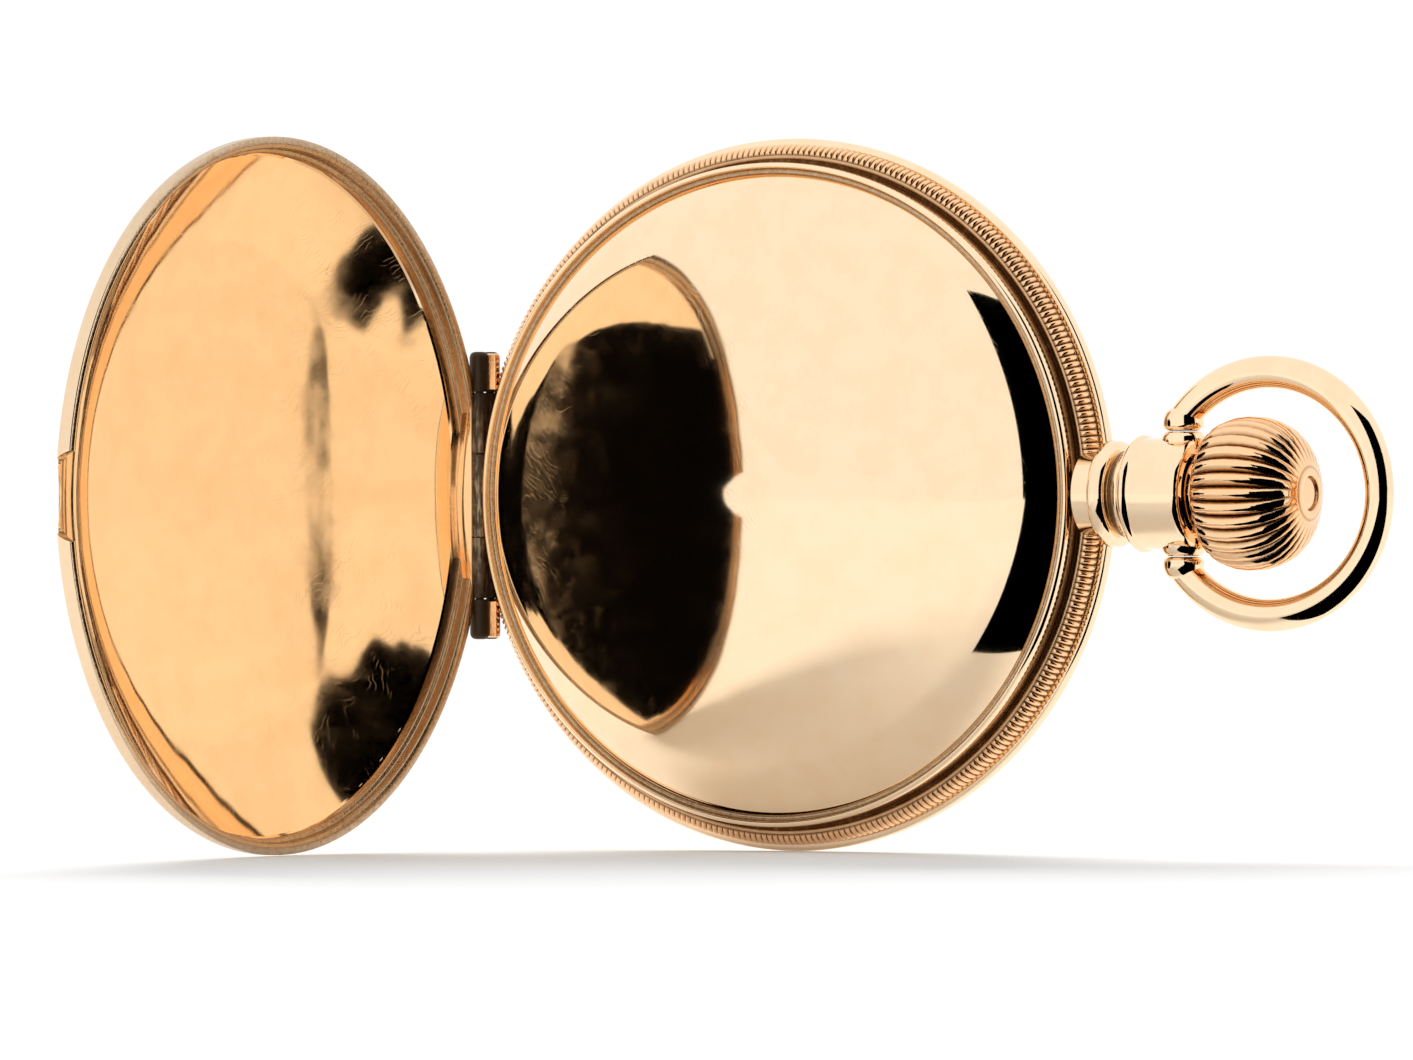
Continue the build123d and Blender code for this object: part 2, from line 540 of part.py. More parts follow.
BOW_CENTRE_X = BOW_RIGHT_X - BOW_R
EAR_LEVEL = sqrt(BOW_R**2 - (BOW_CENTRE_X - BOW_PIVOT_X) ** 2)
BOW_SWEEP = 2 * (180 - degrees(acos((BOW_CENTRE_X - BOW_PIVOT_X) / BOW_R)))
with BuildPart() as bow:
    start_plane = Plane(
        origin=(BOW_PIVOT_X, PENDANT_H, CENTRE_Z - EAR_LEVEL),
        x_dir=((BOW_PIVOT_X - BOW_CENTRE_X) / BOW_R, 0, -EAR_LEVEL / BOW_R),
        z_dir=(EAR_LEVEL / BOW_R, 0, (BOW_PIVOT_X - BOW_CENTRE_X) / BOW_R),
    )
    with BuildSketch(start_plane, mode=Mode.PRIVATE) as wire:
        Circle(BOW_WIRE_R)
    bow_axis = Axis((BOW_CENTRE_X, PENDANT_H, CENTRE_Z), (0, -1, 0))
    revolve(wire.sketch, axis=bow_axis, revolution_arc=BOW_SWEEP)
    for side in (-1, 1):
        ear_end = Plane(origin=(BOW_PIVOT_X, PENDANT_H, CENTRE_Z), z_dir=(0, 0, side))
        with BuildSketch(ear_end.offset(SLEEVE_R + 0.55), mode=Mode.PRIVATE) as ear:
            Circle(BOW_WIRE_R)
        extrude(ear.sketch, amount=EAR_LEVEL - SLEEVE_R - 0.2)
        with BuildSketch(ear_end.offset(SLEEVE_R + 0.5 - BOW_SOCKET_DEPTH), mode=Mode.PRIVATE) as stud:
            Circle(BOW_WIRE_R * BOW_STUD)
        extrude(stud.sketch, amount=BOW_SOCKET_DEPTH + 0.4)

with BuildPart() as crown:
    with BuildSketch(PENDANT_PLANE, mode=Mode.PRIVATE) as profile:
        with BuildLine():
            Polyline((SLEEVE_END_X - 0.35, STEM_R), (SLEEVE_END_X - 0.35, CROWN_BASE_R),
                     (SLEEVE_END_X + 1.2, CROWN_BASE_R), (SLEEVE_END_X + 1.2, CROWN_BASE_R + 1.3))
            ThreePointArc((SLEEVE_END_X + 1.2, CROWN_BASE_R + 1.3), (SLEEVE_END_X + 2.3, CROWN_R - 0.45),
                          (CROWN_X, CROWN_R))
            ThreePointArc((CROWN_X, CROWN_R), (CROWN_END_X - 1.6, CROWN_R - 1.2),
                          (CROWN_END_X - 0.2, BUTTON_R + 1))
            Polyline((CROWN_END_X - 0.2, BUTTON_R + 1), (CROWN_END_X, BUTTON_R + 0.6),
                     (CROWN_END_X, BUTTON_R), (CROWN_END_X - 0.5, BUTTON_R), (CROWN_END_X - 0.5, STEM_R),
                     (SLEEVE_END_X - 0.35, STEM_R))
        make_face()
    revolve(profile.sketch, axis=PENDANT_AXIS)
    flute_plane = Plane(origin=(SLEEVE_END_X + 0.9, PENDANT_H, CENTRE_Z), z_dir=(1, 0, 0))
    with BuildSketch(flute_plane, mode=Mode.PRIVATE) as flutes:
        with PolarLocations(CROWN_R + 0.25, FLUTES):
            Circle(FLUTE_DEPTH + 0.1)
    extrude(flutes.sketch, amount=CROWN_END_X - SLEEVE_END_X, mode=Mode.SUBTRACT)

with BuildPart() as crown_cap:
    turned_along([(CROWN_END_X - 0.5, STEM_R), (CROWN_END_X - 0.5, BUTTON_R), (CROWN_END_X - 0.25, BUTTON_R),
                  (CROWN_END_X - 0.15, BUTTON_R - 0.2), (CROWN_END_X - 0.15, 0), (CROWN_END_X - 0.4, 0),
                  (CROWN_END_X - 0.4, STEM_R)])

STEM_START_X = CROWN_WHEEL[0] + 1.6
CATCH_WALL = 0.9
CATCH_X = BAND_NECK_R - 2.4
STEM_FLANGE_R = PENDANT_H - BACK_RIM_H
with BuildPart() as winding_stem:
    turned_along([
        (STEM_START_X, 0), (CROWN_END_X - 0.4, 0), (CROWN_END_X - 0.4, STEM_R),
        (CATCH_X + CATCH_WALL + 0.6, STEM_R), (CATCH_X + CATCH_WALL + 0.6, STEM_FLANGE_R),
        (CATCH_X + CATCH_WALL + 0.05, STEM_FLANGE_R), (CATCH_X + CATCH_WALL + 0.05, STEM_R),
        (STEM_START_X, STEM_R),
    ])

with BuildPart() as stem_sleeve:
    turned_along([
        (LIP_R, STEM_R + PIN_FIT), (SLEEVE_END_X - 1.3, STEM_R + PIN_FIT),
        (SLEEVE_END_X - 1.3, PENDANT_BORE_R - 0.4), (LIP_R + 4, PENDANT_BORE_R - 0.4),
        (LIP_R + 4, PENDANT_BORE_R), (LIP_R, PENDANT_BORE_R),
    ])

with BuildPart() as lid_catch:
    turned_along([
        (CATCH_X, STEM_R + 0.1), (CATCH_X + CATCH_WALL, STEM_R + 0.1),
        (CATCH_X + CATCH_WALL, PENDANT_BORE_R - 0.3), (CATCH_X, PENDANT_BORE_R - 0.3),
    ])
    slab(CATCH_X, CATCH_X + CATCH_WALL, PENDANT_H + STEM_R + 0.5, FRONT_RIM_H + 1.4, 0.9)
    slab(CATCH_X, BAND_NECK_R + 0.35, FRONT_RIM_H + 0.8, FRONT_RIM_H + 1.4, 0.9)

with BuildPart() as back_cover_shut:
    back_foot = ((BACK_RIM_R - 0.5, BACK_RIM_H - RIM_LAND - 0.2),
                 (BACK_RIM_R - 1.3, BACK_RIM_H - RIM_LAND - 0.5))
    back_rim = [(BACK_RIM_R, BACK_RIM_H - RIM_LAND), (BACK_RIM_R, BACK_RIM_H - 0.1),
                (BACK_RIM_R - 0.1, BACK_RIM_H), (REED_INNER_R + 0.1, BACK_RIM_H),
                (REED_INNER_R + 0.1, BACK_RIM_H - 0.6), (BACK_RIM_R - 1.3, BACK_RIM_H - 0.6)]
    revolve(dome_face(-1, BACK_APEX_H, COVER_WALL, BACK_REACH, back_foot, back_rim), axis=shaft())
    cover_leaf(REAR_HINGE, -1)
    pendant_notch()
    for side in (-1, 1):
        low, high = sorted((side * (MIDDLE_HALF + KNUCKLE_GAP), side * (LEAF_HALF - KNUCKLE_GAP)))
        knuckle(REAR_HINGE, low, high, KNUCKLE_R)
    knuckle(REAR_HINGE, -MIDDLE_HALF, MIDDLE_HALF, KNUCKLE_R + KNUCKLE_GAP, Mode.SUBTRACT)
    knuckle(REAR_HINGE, -HINGE_HALF, HINGE_HALF, HINGE_PIN_R + PIN_FIT, Mode.SUBTRACT)

with BuildPart() as back_cover:
    add(back_cover_shut.part.rotate(REAR_HINGE, -BACK_OPENING))

with BuildPart() as front_cover:
    front_foot = ((LIP_R - 0.6, FRONT_RIM_H + RIM_LAND + 0.5),
                  (BAND_NECK_R + 0.5, FRONT_RIM_H + RIM_LAND + 1.15))
    front_rim = [(LIP_R - 0.6, FRONT_RIM_H + RIM_LAND + 0.25), (LIP_R, FRONT_RIM_H + RIM_LAND - 0.2),
                 (LIP_R, FRONT_RIM_H + 0.25), (LIP_R - 0.25, FRONT_RIM_H), (BAND_NECK_R + 0.6, FRONT_RIM_H),
                 (BAND_NECK_R + 0.6, FRONT_RIM_H + RIM_LAND)]
    revolve(dome_face(1, FRONT_APEX_H, COVER_WALL, FRONT_REACH, front_foot, front_rim), axis=shaft())
    cover_leaf(FRONT_HINGE, 1)
    pendant_notch()
    knuckle(FRONT_HINGE, KNUCKLE_GAP - LEAF_HALF, LEAF_HALF - KNUCKLE_GAP, KNUCKLE_R)
    knuckle(FRONT_HINGE, -HINGE_HALF, HINGE_HALF, HINGE_PIN_R + PIN_FIT, Mode.SUBTRACT)

with BuildPart() as cuvette:
    flange_inner_r = CUVETTE_FLANGE_R - CUVETTE_FLANGE_WALL
    cuvette_foot = ((flange_inner_r + 0.05, CUVETTE_FLANGE_TOP - 0.1),
                    (flange_inner_r - 0.1, CUVETTE_FLANGE_TOP + 0.5))
    cuvette_rim = [(flange_inner_r + 0.2, CUVETTE_FLANGE_TOP + 0.15),
                   (flange_inner_r + 0.5, CUVETTE_FLANGE_TOP - 0.1),
                   (CUVETTE_FLANGE_R - 0.15, CUVETTE_FLANGE_TOP + 0.1),
                   (CUVETTE_FLANGE_R, CUVETTE_FLANGE_TOP + 0.4),
                   (CUVETTE_FLANGE_R, BACK_RIM_H - 0.1), (flange_inner_r - 0.1, BACK_RIM_H - 0.1)]
    shell = dome_face(-1, CUVETTE_APEX_H, CUVETTE_WALL, CUVETTE_REACH, cuvette_foot, cuvette_rim)
    revolve(shell, axis=shaft())
    slab(HINGE_X, HINGE_X + 1.9, BACK_RIM_H + 0.05, BACK_RIM_H + 0.7, MIDDLE_HALF - KNUCKLE_GAP)
    slab(HINGE_X + 1.3, HINGE_X + 1.9, BACK_RIM_H - 0.3, BACK_RIM_H + 0.7, MIDDLE_HALF - KNUCKLE_GAP)
    knuckle(REAR_HINGE, KNUCKLE_GAP - MIDDLE_HALF, MIDDLE_HALF - KNUCKLE_GAP, KNUCKLE_R)
    knuckle(REAR_HINGE, -HINGE_HALF, HINGE_HALF, HINGE_PIN_R + PIN_FIT, Mode.SUBTRACT)

with BuildPart() as rear_hinge_pin:
    knuckle(REAR_HINGE, -HINGE_HALF, HINGE_HALF, HINGE_PIN_R)

with BuildPart() as front_hinge_pin:
    knuckle(FRONT_HINGE, -HINGE_HALF, HINGE_HALF, HINGE_PIN_R)

with BuildPart() as bezel:
    turned([
        (BEZEL_OPENING_R, BAND_TOP_H + 0.5), (BEZEL_OPENING_R + 0.6, BAND_TOP_H), (BEZEL_OUTER_R, BAND_TOP_H),
        (BEZEL_OUTER_R, BAND_TOP_H + 0.15), (CRYSTAL_R + 1.0, BEZEL_TOP_H),
        (CRYSTAL_R + PIVOT_FIT, BEZEL_TOP_H), (CRYSTAL_R + PIVOT_FIT, GLASS_SEAT_H),
        (BEZEL_OPENING_R, GLASS_SEAT_H),
    ])

with BuildPart() as crystal:
    with BuildSketch(section_plane(), mode=Mode.PRIVATE) as profile:
        with BuildLine():
            skins = []
            outer_skin = (CRYSTAL_APEX_H, CRYSTAL_R)
            inner_skin = (CRYSTAL_APEX_H - CRYSTAL_WALL, CRYSTAL_R - 1.0)
            for apex, edge_r in (outer_skin, inner_skin):
                skins.append(ThreePointArc(
                    (0, apex), (edge_r / 2, apex - sag(edge_r / 2)), (edge_r, apex - sag(edge_r))))
            Line((0, CRYSTAL_APEX_H), (0, CRYSTAL_APEX_H - CRYSTAL_WALL))
            Polyline(skins[0] @ 1, (CRYSTAL_R, GLASS_SEAT_H), (CRYSTAL_R - 1.0, GLASS_SEAT_H), skins[1] @ 1)
        make_face()
    revolve(profile.sketch, axis=shaft())

with BuildPart() as lift_spring:
    with BuildSketch(face_plane(0.6), mode=Mode.PRIVATE) as spring:
        with BuildLine():
            CenterArc((0, 0), BAND_BORE_R + 0.8, 120, 120)
            CenterArc((0, 0), BAND_BORE_R + 0.3, 120, 120)
            for angle in (120, 240):
                Line(polar(BAND_BORE_R + 0.3, angle), polar(BAND_BORE_R + 0.8, angle))
        make_face()
    extrude(spring.sketch, amount=0.8)
    slab(LEAF_X + LEAF_WALL + KNUCKLE_GAP, 0.4 - BAND_BORE_R - 0.8, 0.6, 1.4, 0.8)

with BuildPart() as case_screws:
    for spot in CASE_SCREWS:
        ring(CASE_SCREW_R, 0, BAND_BACK_H, ARBOR_SEAT_H, spot)
        ring(1.9, 0, BAND_BACK_H - 0.45, BAND_BACK_H, spot)
        with BuildSketch(face_plane(BAND_BACK_H - 0.45, spot), mode=Mode.PRIVATE) as slot:
            Rectangle(4, 0.35)
        extrude(slot.sketch, amount=0.25, mode=Mode.SUBTRACT)

# ---------------------------------------------------------------- frame of the movement
with BuildPart() as pillar_plate:
    ring(PLATE_R, 0, PLATE_BACK_H, PLATE_FRONT_H)
    ring(PLATE_R, PLATE_R - 0.5, PLATE_FRONT_H, DIAL_BACK_H)
    slab(STEM_START_X - 0.2 - CROWN_TRAVEL, STEM_START_X + 3.7, PLATE_BACK_H - 1, PLATE_FRONT_H + 1,
         WINDING_PINION_R + 0.45, mode=Mode.SUBTRACT)
    slab(STEM_START_X + 3.3, PLATE_R + 1, PLATE_BACK_H - 1, PENDANT_H + STEM_R + 0.1, STEM_R + 0.1,
         mode=Mode.SUBTRACT)
    bores = [(CENTRE, CANNON_PIPE_R + RUNNING_GAP), (BARREL, BARREL_ARBOR_R)]
    bores += [(spot, ARBOR_R) for spot in (THIRD, FOURTH, ESCAPE, PALLET, BALANCE)]
    for spot, radius in bores:
        ring(radius + PIVOT_FIT, 0, PLATE_BACK_H - 1, PLATE_FRONT_H + 1, spot, Mode.SUBTRACT)
    for spot in CASE_SCREWS:
        ring(CASE_SCREW_R, 0, PLATE_BACK_H - 1, ARBOR_SEAT_H, spot, Mode.SUBTRACT)
    ring(POST_R, 0, PLATE_FRONT_H, POST_TOP_H, MINUTE_WHEEL)
    ring(POST_R, 0, PLATE_FRONT_H, POST_TOP_H, CROWN_WHEEL)

with BuildPart() as pillars:
    for spot in PILLARS:
        ring(PILLAR_R, 0, TOP_PLATE_INNER_H, PLATE_BACK_H, spot)

with BuildPart() as top_plate:
    ring(TOP_PLATE_R, 0, TOP_PLATE_OUTER_H, TOP_PLATE_INNER_H)
    ring(1.5, 0, TOP_PLATE_OUTER_H - 1, TOP_PLATE_INNER_H + 1, BALANCE, Mode.SUBTRACT)
    ring(BARREL_ARBOR_R + PIVOT_FIT, 0, TOP_PLATE_OUTER_H - 1, TOP_PLATE_INNER_H + 1, BARREL, Mode.SUBTRACT)
    for spot in JEWELS:
        ring(JEWEL_R, 0, TOP_PLATE_OUTER_H - 1, TOP_PLATE_INNER_H + 1, spot, Mode.SUBTRACT)
    for spot in PILLARS:
        ring(PLATE_SCREW_R, 0, TOP_PLATE_OUTER_H - 1, TOP_PLATE_INNER_H + 1, spot, Mode.SUBTRACT)

with BuildPart() as top_plate_screws:
    for angle, spot in zip(PILLAR_ANGLES, PILLARS):
        ring(PLATE_SCREW_R, 0, TOP_PLATE_OUTER_H, TOP_PLATE_INNER_H, spot)
        ring(1.0, 0, TOP_PLATE_OUTER_H - 0.35, TOP_PLATE_OUTER_H, spot)
        with BuildSketch(face_plane(TOP_PLATE_OUTER_H - 0.35, spot, angle), mode=Mode.PRIVATE) as slot:
            Rectangle(3, 0.25)
        extrude(slot.sketch, amount=0.2, mode=Mode.SUBTRACT)

with BuildPart() as jewels:
    for spot in JEWELS:
        ring(JEWEL_R, PIVOT_R + PIVOT_FIT, TOP_PLATE_OUTER_H, TOP_PLATE_INNER_H, spot)

COCK_TURN = bearing(CENTRE, BALANCE)
COCK_FOOT_START = hypot(*BALANCE) + BALANCE_R + BALANCE_SCREW_HEAD + COCK_FOOT_GAP
COCK_FOOT_END = COCK_FOOT_START + COCK_FOOT
COCK_SCREW = polar(COCK_FOOT_START + 1.5, COCK_TURN)
with BuildPart() as balance_cock:
    with BuildSketch(radial_plane(COCK_TURN), mode=Mode.PRIVATE) as profile:
        with BuildLine():
            Polyline(
                (hypot(*BALANCE), COCK_H), (COCK_FOOT_START, COCK_H), (COCK_FOOT_START, TOP_PLATE_OUTER_H),
                (COCK_FOOT_END, TOP_PLATE_OUTER_H), (COCK_FOOT_END, COCK_H + 0.15),
                (COCK_FOOT_START + 0.4, COCK_H + 0.15), (COCK_FOOT_START - 0.4, COCK_BACK_H + 0.2),
                (COCK_FOOT_START - 3.6, COCK_BACK_H), (hypot(*BALANCE), COCK_BACK_H), close=True,
            )
        make_face()
    extrude(profile.sketch, amount=1.8, both=True)
    ring(2.1, 0, COCK_BACK_H, COCK_H, BALANCE)
    ring(COCK_JEWEL_R, 0, COCK_H - 1, COCK_H + 0.5, BALANCE, Mode.SUBTRACT)
    ring(COCK_SCREW_R, 0, COCK_H - 1, TOP_PLATE_OUTER_H, COCK_SCREW, Mode.SUBTRACT)

with BuildPart() as cock_screw:
    ring(COCK_SCREW_R, 0, COCK_H + 0.15, TOP_PLATE_OUTER_H, COCK_SCREW)
    ring(COCK_SCREW_R + 0.4, 0, COCK_H - 0.1, COCK_H + 0.15, COCK_SCREW)

BARREL_FLOOR_H = ARBOR_START_H + 0.25
BARREL_COVER_H = BARREL_TEETH_H + 0.15
with BuildPart() as barrel:
    phase = bearing(BARREL, CENTRE)
    with BuildSketch(face_plane(BARREL_TEETH_H, BARREL), mode=Mode.PRIVATE) as rim:
        gear_outline(BARREL_TEETH, BARREL_MODULE, phase)
        Circle(BARREL_R - BARREL_WALL, mode=Mode.SUBTRACT)
    extrude(rim.sketch, amount=TRAIN_WALL)
    ring(BARREL_R, BARREL_R - BARREL_WALL, BARREL_FLOOR_H, BARREL_TEETH_H, BARREL)
    ring(BARREL_R, BARREL_ARBOR_R + PIVOT_FIT, ARBOR_START_H, BARREL_FLOOR_H, BARREL)

with BuildPart() as barrel_cover:
    ring(BARREL_R - BARREL_WALL, BARREL_ARBOR_R + PIVOT_FIT, BARREL_COVER_H, BARREL_COVER_H + 0.2, BARREL)

with BuildPart() as barrel_arbor:
    ring(BARREL_ARBOR_R, 0, TOP_PLATE_OUTER_H, RATCHET_H + TRAIN_WALL, BARREL)
    ring(1.7, 0, BARREL_FLOOR_H + PIVOT_FIT, BARREL_COVER_H - PIVOT_FIT, BARREL)

with BuildPart() as mainspring:
    spring_h = BARREL_FLOOR_H + PIVOT_FIT
    coil(BARREL, spring_h, BARREL_COVER_H - PIVOT_FIT - spring_h, 2.0, 0.8, 13, 0.25)


def train_pinion(teeth, module, at, low, high, phase, arbor_end):
    """Pinion with its arbor, whose back pivot runs in the jewel of the top plate."""
    pinion(teeth, module, at, low, high, phase)
    ring(ARBOR_R, 0, ARBOR_START_H, arbor_end, at)
    ring(PIVOT_R, 0, TOP_PLATE_OUTER_H, ARBOR_START_H, at)


with BuildPart() as centre_wheel:
    wheel(CENTRE_TEETH, CENTRE_MODULE, CENTRE, CENTRE_WHEEL_H, bearing(CENTRE, THIRD))

with BuildPart() as centre_pinion:
    train_pinion(CENTRE_PINION_TEETH, BARREL_MODULE, CENTRE, LEVER_H, THIRD_PINION_H,
                 facing_mesh(BARREL, CENTRE, CENTRE_PINION_TEETH), CENTRE_END_H)

with BuildPart() as third_wheel:
    wheel(THIRD_TEETH, THIRD_MODULE, THIRD, THIRD_WHEEL_H, bearing(THIRD, FOURTH), hub_r=1.2)

with BuildPart() as third_pinion:
    train_pinion(THIRD_PINION_TEETH, CENTRE_MODULE, THIRD, THIRD_PINION_H, ARBOR_END_H,
                 facing_mesh(CENTRE, THIRD, THIRD_PINION_TEETH), PLATE_FRONT_H)

with BuildPart() as fourth_wheel:
    wheel(FOURTH_TEETH, FOURTH_MODULE, FOURTH, FOURTH_WHEEL_H, bearing(FOURTH, ESCAPE), hub_r=1.2)

with BuildPart() as fourth_pinion:
    train_pinion(FOURTH_PINION_TEETH, THIRD_MODULE, FOURTH, FOURTH_PINION_H, LEVER_H + 0.5,
                 facing_mesh(THIRD, FOURTH, FOURTH_PINION_TEETH), CENTRE_END_H)

with BuildPart() as escape_wheel:
    with BuildSketch(face_plane(LEVER_H, ESCAPE), mode=Mode.PRIVATE) as outline:
        Circle(ESCAPE_R - 0.9)
        with PolarLocations(0, ESCAPE_TEETH, start_angle=6):
            Polygon((ESCAPE_R - 1.05, -0.3), (ESCAPE_R, 0.32), (ESCAPE_R - 0.05, 0.42),
                    (ESCAPE_R - 1.05, 0.25), align=None)
        Circle(ESCAPE_R - 1.6, mode=Mode.SUBTRACT)
        with PolarLocations(0, 5):
            Polygon((0, -0.2), (ESCAPE_R - 1.5, -0.15), (ESCAPE_R - 1.5, 0.15), (0, 0.2), align=None)
        Circle(0.8)
        Circle(ARBOR_R, mode=Mode.SUBTRACT)
    extrude(outline.sketch, amount=PALLET_WALL)

with BuildPart() as escape_pinion:
    train_pinion(ESCAPE_PINION_TEETH, FOURTH_MODULE, ESCAPE, ESCAPE_PINION_H, ESCAPE_PINION_H + 0.7,
                 facing_mesh(FOURTH, ESCAPE, ESCAPE_PINION_TEETH), PLATE_FRONT_H)


# ---------------------------------------------------------------- escapement
ESCAPE_TO_PALLET = bearing(ESCAPE, PALLET)
STONE_SPOTS = []
for side in (-1, 1):
    reach = polar(ESCAPE_R + 0.55, ESCAPE_TO_PALLET + side * 36)
    STONE_SPOTS.append((ESCAPE[0] + reach[0], ESCAPE[1] + reach[1]))
LEVER_TURN = bearing(PALLET, BALANCE)
LEVER_REACH = hypot(BALANCE[0] - PALLET[0], BALANCE[1] - PALLET[1]) - 1.2

with BuildPart() as pallet_fork:
    with BuildSketch(face_plane(LEVER_H, PALLET), mode=Mode.PRIVATE) as lever:
        Circle(0.7)
        for spot in STONE_SPOTS:
            turn = bearing(PALLET, spot)
            span = hypot(spot[0] - PALLET[0], spot[1] - PALLET[1]) - 0.25
            with Locations(Location((0, 0, 0), (0, 0, turn))):
                Polygon((0, -0.3), (span, -0.25), (span, 0.25), (0, 0.3), align=None)
        with Locations(Location((0, 0, 0), (0, 0, LEVER_TURN))):
            Polygon((0, -0.3), (LEVER_REACH - 0.7, -0.15), (LEVER_REACH - 0.5, -0.5), (LEVER_REACH, -0.55),
                    (LEVER_REACH, -0.25), (LEVER_REACH - 0.4, -0.2), (LEVER_REACH - 0.4, 0.2),
                    (LEVER_REACH, 0.25), (LEVER_REACH, 0.55), (LEVER_REACH - 0.5, 0.5),
                    (LEVER_REACH - 0.7, 0.15), (0, 0.3), align=None)
        Circle(PALLET_ARBOR_R, mode=Mode.SUBTRACT)
    extrude(lever.sketch, amount=PALLET_WALL)

with BuildPart() as pallet_stones:
    for spot in STONE_SPOTS:
        with BuildSketch(face_plane(LEVER_H, spot, bearing(PALLET, spot)), mode=Mode.PRIVATE) as stone:
            Rectangle(0.5, 0.3)
        extrude(stone.sketch, amount=PALLET_WALL)

with BuildPart() as pallet_arbor:
    ring(PALLET_ARBOR_R, 0, ARBOR_START_H, ARBOR_END_H, PALLET)
    ring(PIVOT_R, 0, TOP_PLATE_OUTER_H, ARBOR_START_H, PALLET)
    ring(PIVOT_R, 0, ARBOR_END_H, ARBOR_SEAT_H, PALLET)

BALANCE_LOW = COCK_H + 0.15
BALANCE_HIGH = TOP_PLATE_OUTER_H - RUNNING_GAP
with BuildPart() as balance_wheel:
    ring(BALANCE_R, BALANCE_R - BALANCE_RIM, BALANCE_LOW, BALANCE_HIGH, BALANCE)
    with BuildSketch(face_plane(BALANCE_HIGH - 0.2, BALANCE, 25), mode=Mode.PRIVATE) as arms:
        Rectangle(2 * BALANCE_R - BALANCE_RIM, 0.9)
        Circle(1.1)
        Circle(ARBOR_R, mode=Mode.SUBTRACT)
    extrude(arms.sketch, amount=0.2)

with BuildPart() as balance_screws:
    for number in range(BALANCE_SCREWS):
        turn = 360 * (number + 0.5) / BALANCE_SCREWS
        spot = polar(BALANCE_R, turn)
        side = Plane(
            origin=(BALANCE[0] + spot[0], (BALANCE_LOW + BALANCE_HIGH) / 2, CENTRE_Z - BALANCE[1] - spot[1]),
            z_dir=(cos(radians(turn)), 0, -sin(radians(turn))),
        )
        with BuildSketch(side, mode=Mode.PRIVATE) as head:
            Circle(0.28)
        extrude(head.sketch, amount=BALANCE_SCREW_HEAD)

with BuildPart() as balance_staff:
    ring(ARBOR_R, 0, BALANCE_LOW + 0.1, ARBOR_END_H, BALANCE)
    ring(PIVOT_R, 0, COCK_BACK_H + 0.1, BALANCE_LOW + 0.1, BALANCE)
    ring(PIVOT_R, 0, ARBOR_END_H, ARBOR_SEAT_H, BALANCE)

with BuildPart() as roller:
    ring(1.15, ARBOR_R, LEVER_H - 0.25, LEVER_H - 0.1, BALANCE)
    toward = polar(0.85, bearing(BALANCE, PALLET) + 90)
    ring(0.15, 0, LEVER_H - 0.1, LEVER_H + PALLET_WALL, (BALANCE[0] + toward[0], BALANCE[1] + toward[1]))

with BuildPart() as hairspring:
    coil(BALANCE, COCK_H + 0.2, 0.2, 0.9, 0.44, 11, 0.12)
    ring(0.2, 0, COCK_H, COCK_H + 0.4, (BALANCE[0] - 0.9 - 10 * 0.22, BALANCE[1]))

with BuildPart() as cock_jewel:
    ring(COCK_JEWEL_R, PIVOT_R + PIVOT_FIT, COCK_BACK_H, COCK_H, BALANCE)

with BuildPart() as regulator:
    top_face = face_plane(COCK_BACK_H - 0.3, BALANCE, bearing(BALANCE, CENTRE))
    with BuildSketch(top_face, mode=Mode.PRIVATE) as index:
        Circle(1.4)
        Polygon((0, -0.4), (4.6, -0.15), (5.2, 0), (4.6, 0.15), (0, 0.4), align=None)
        Circle(0.8, mode=Mode.SUBTRACT)
    extrude(index.sketch, amount=0.25)

# ---------------------------------------------------------------- winding and motion work
with BuildPart() as winding_pinion:
    face = Plane(origin=(STEM_START_X + 0.8, PENDANT_H, CENTRE_Z), x_dir=(0, 1, 0), z_dir=(1, 0, 0))
    with BuildSketch(face, mode=Mode.PRIVATE) as outline:
        Circle(WINDING_PINION_R - 0.25)
        tooth_ring(WINDING_PINION_TEETH, WINDING_PINION_R - 0.25, WINDING_PINION_R + 0.2, 0.34, 0.16)
        Circle(STEM_R + PIVOT_FIT, mode=Mode.SUBTRACT)
    extrude(outline.sketch, amount=2.4)

CROWN_FACE_R = CROWN_SLOTS * WINDING_PINION_R / WINDING_PINION_TEETH
with BuildPart() as crown_wheel:
    with BuildSketch(face_plane(CROWN_WHEEL_H, CROWN_WHEEL), mode=Mode.PRIVATE) as outline:
        gear_outline(CROWN_WHEEL_TEETH, RATCHET_MODULE, bearing(CROWN_WHEEL, BARREL))
        Circle(POST_R + PIVOT_FIT, mode=Mode.SUBTRACT)
    extrude(outline.sketch, amount=0.4)
    with BuildSketch(face_plane(CROWN_WHEEL_H - 0.38, CROWN_WHEEL), mode=Mode.PRIVATE) as teeth:
        with PolarLocations(0, CROWN_SLOTS, start_angle=180 / CROWN_SLOTS):
            Polygon((CROWN_FACE_R - 0.4, -0.1), (CROWN_FACE_R + 0.4, -0.12), (CROWN_FACE_R + 0.4, 0.12),
                    (CROWN_FACE_R - 0.4, 0.1), align=None)
    extrude(teeth.sketch, amount=0.38)

with BuildPart() as ratchet_wheel:
    with BuildSketch(face_plane(RATCHET_H, BARREL), mode=Mode.PRIVATE) as outline:
        gear_outline(RATCHET_TEETH, RATCHET_MODULE, facing_mesh(CROWN_WHEEL, BARREL, RATCHET_TEETH))
        Circle(BARREL_ARBOR_R, mode=Mode.SUBTRACT)
    extrude(outline.sketch, amount=0.4)

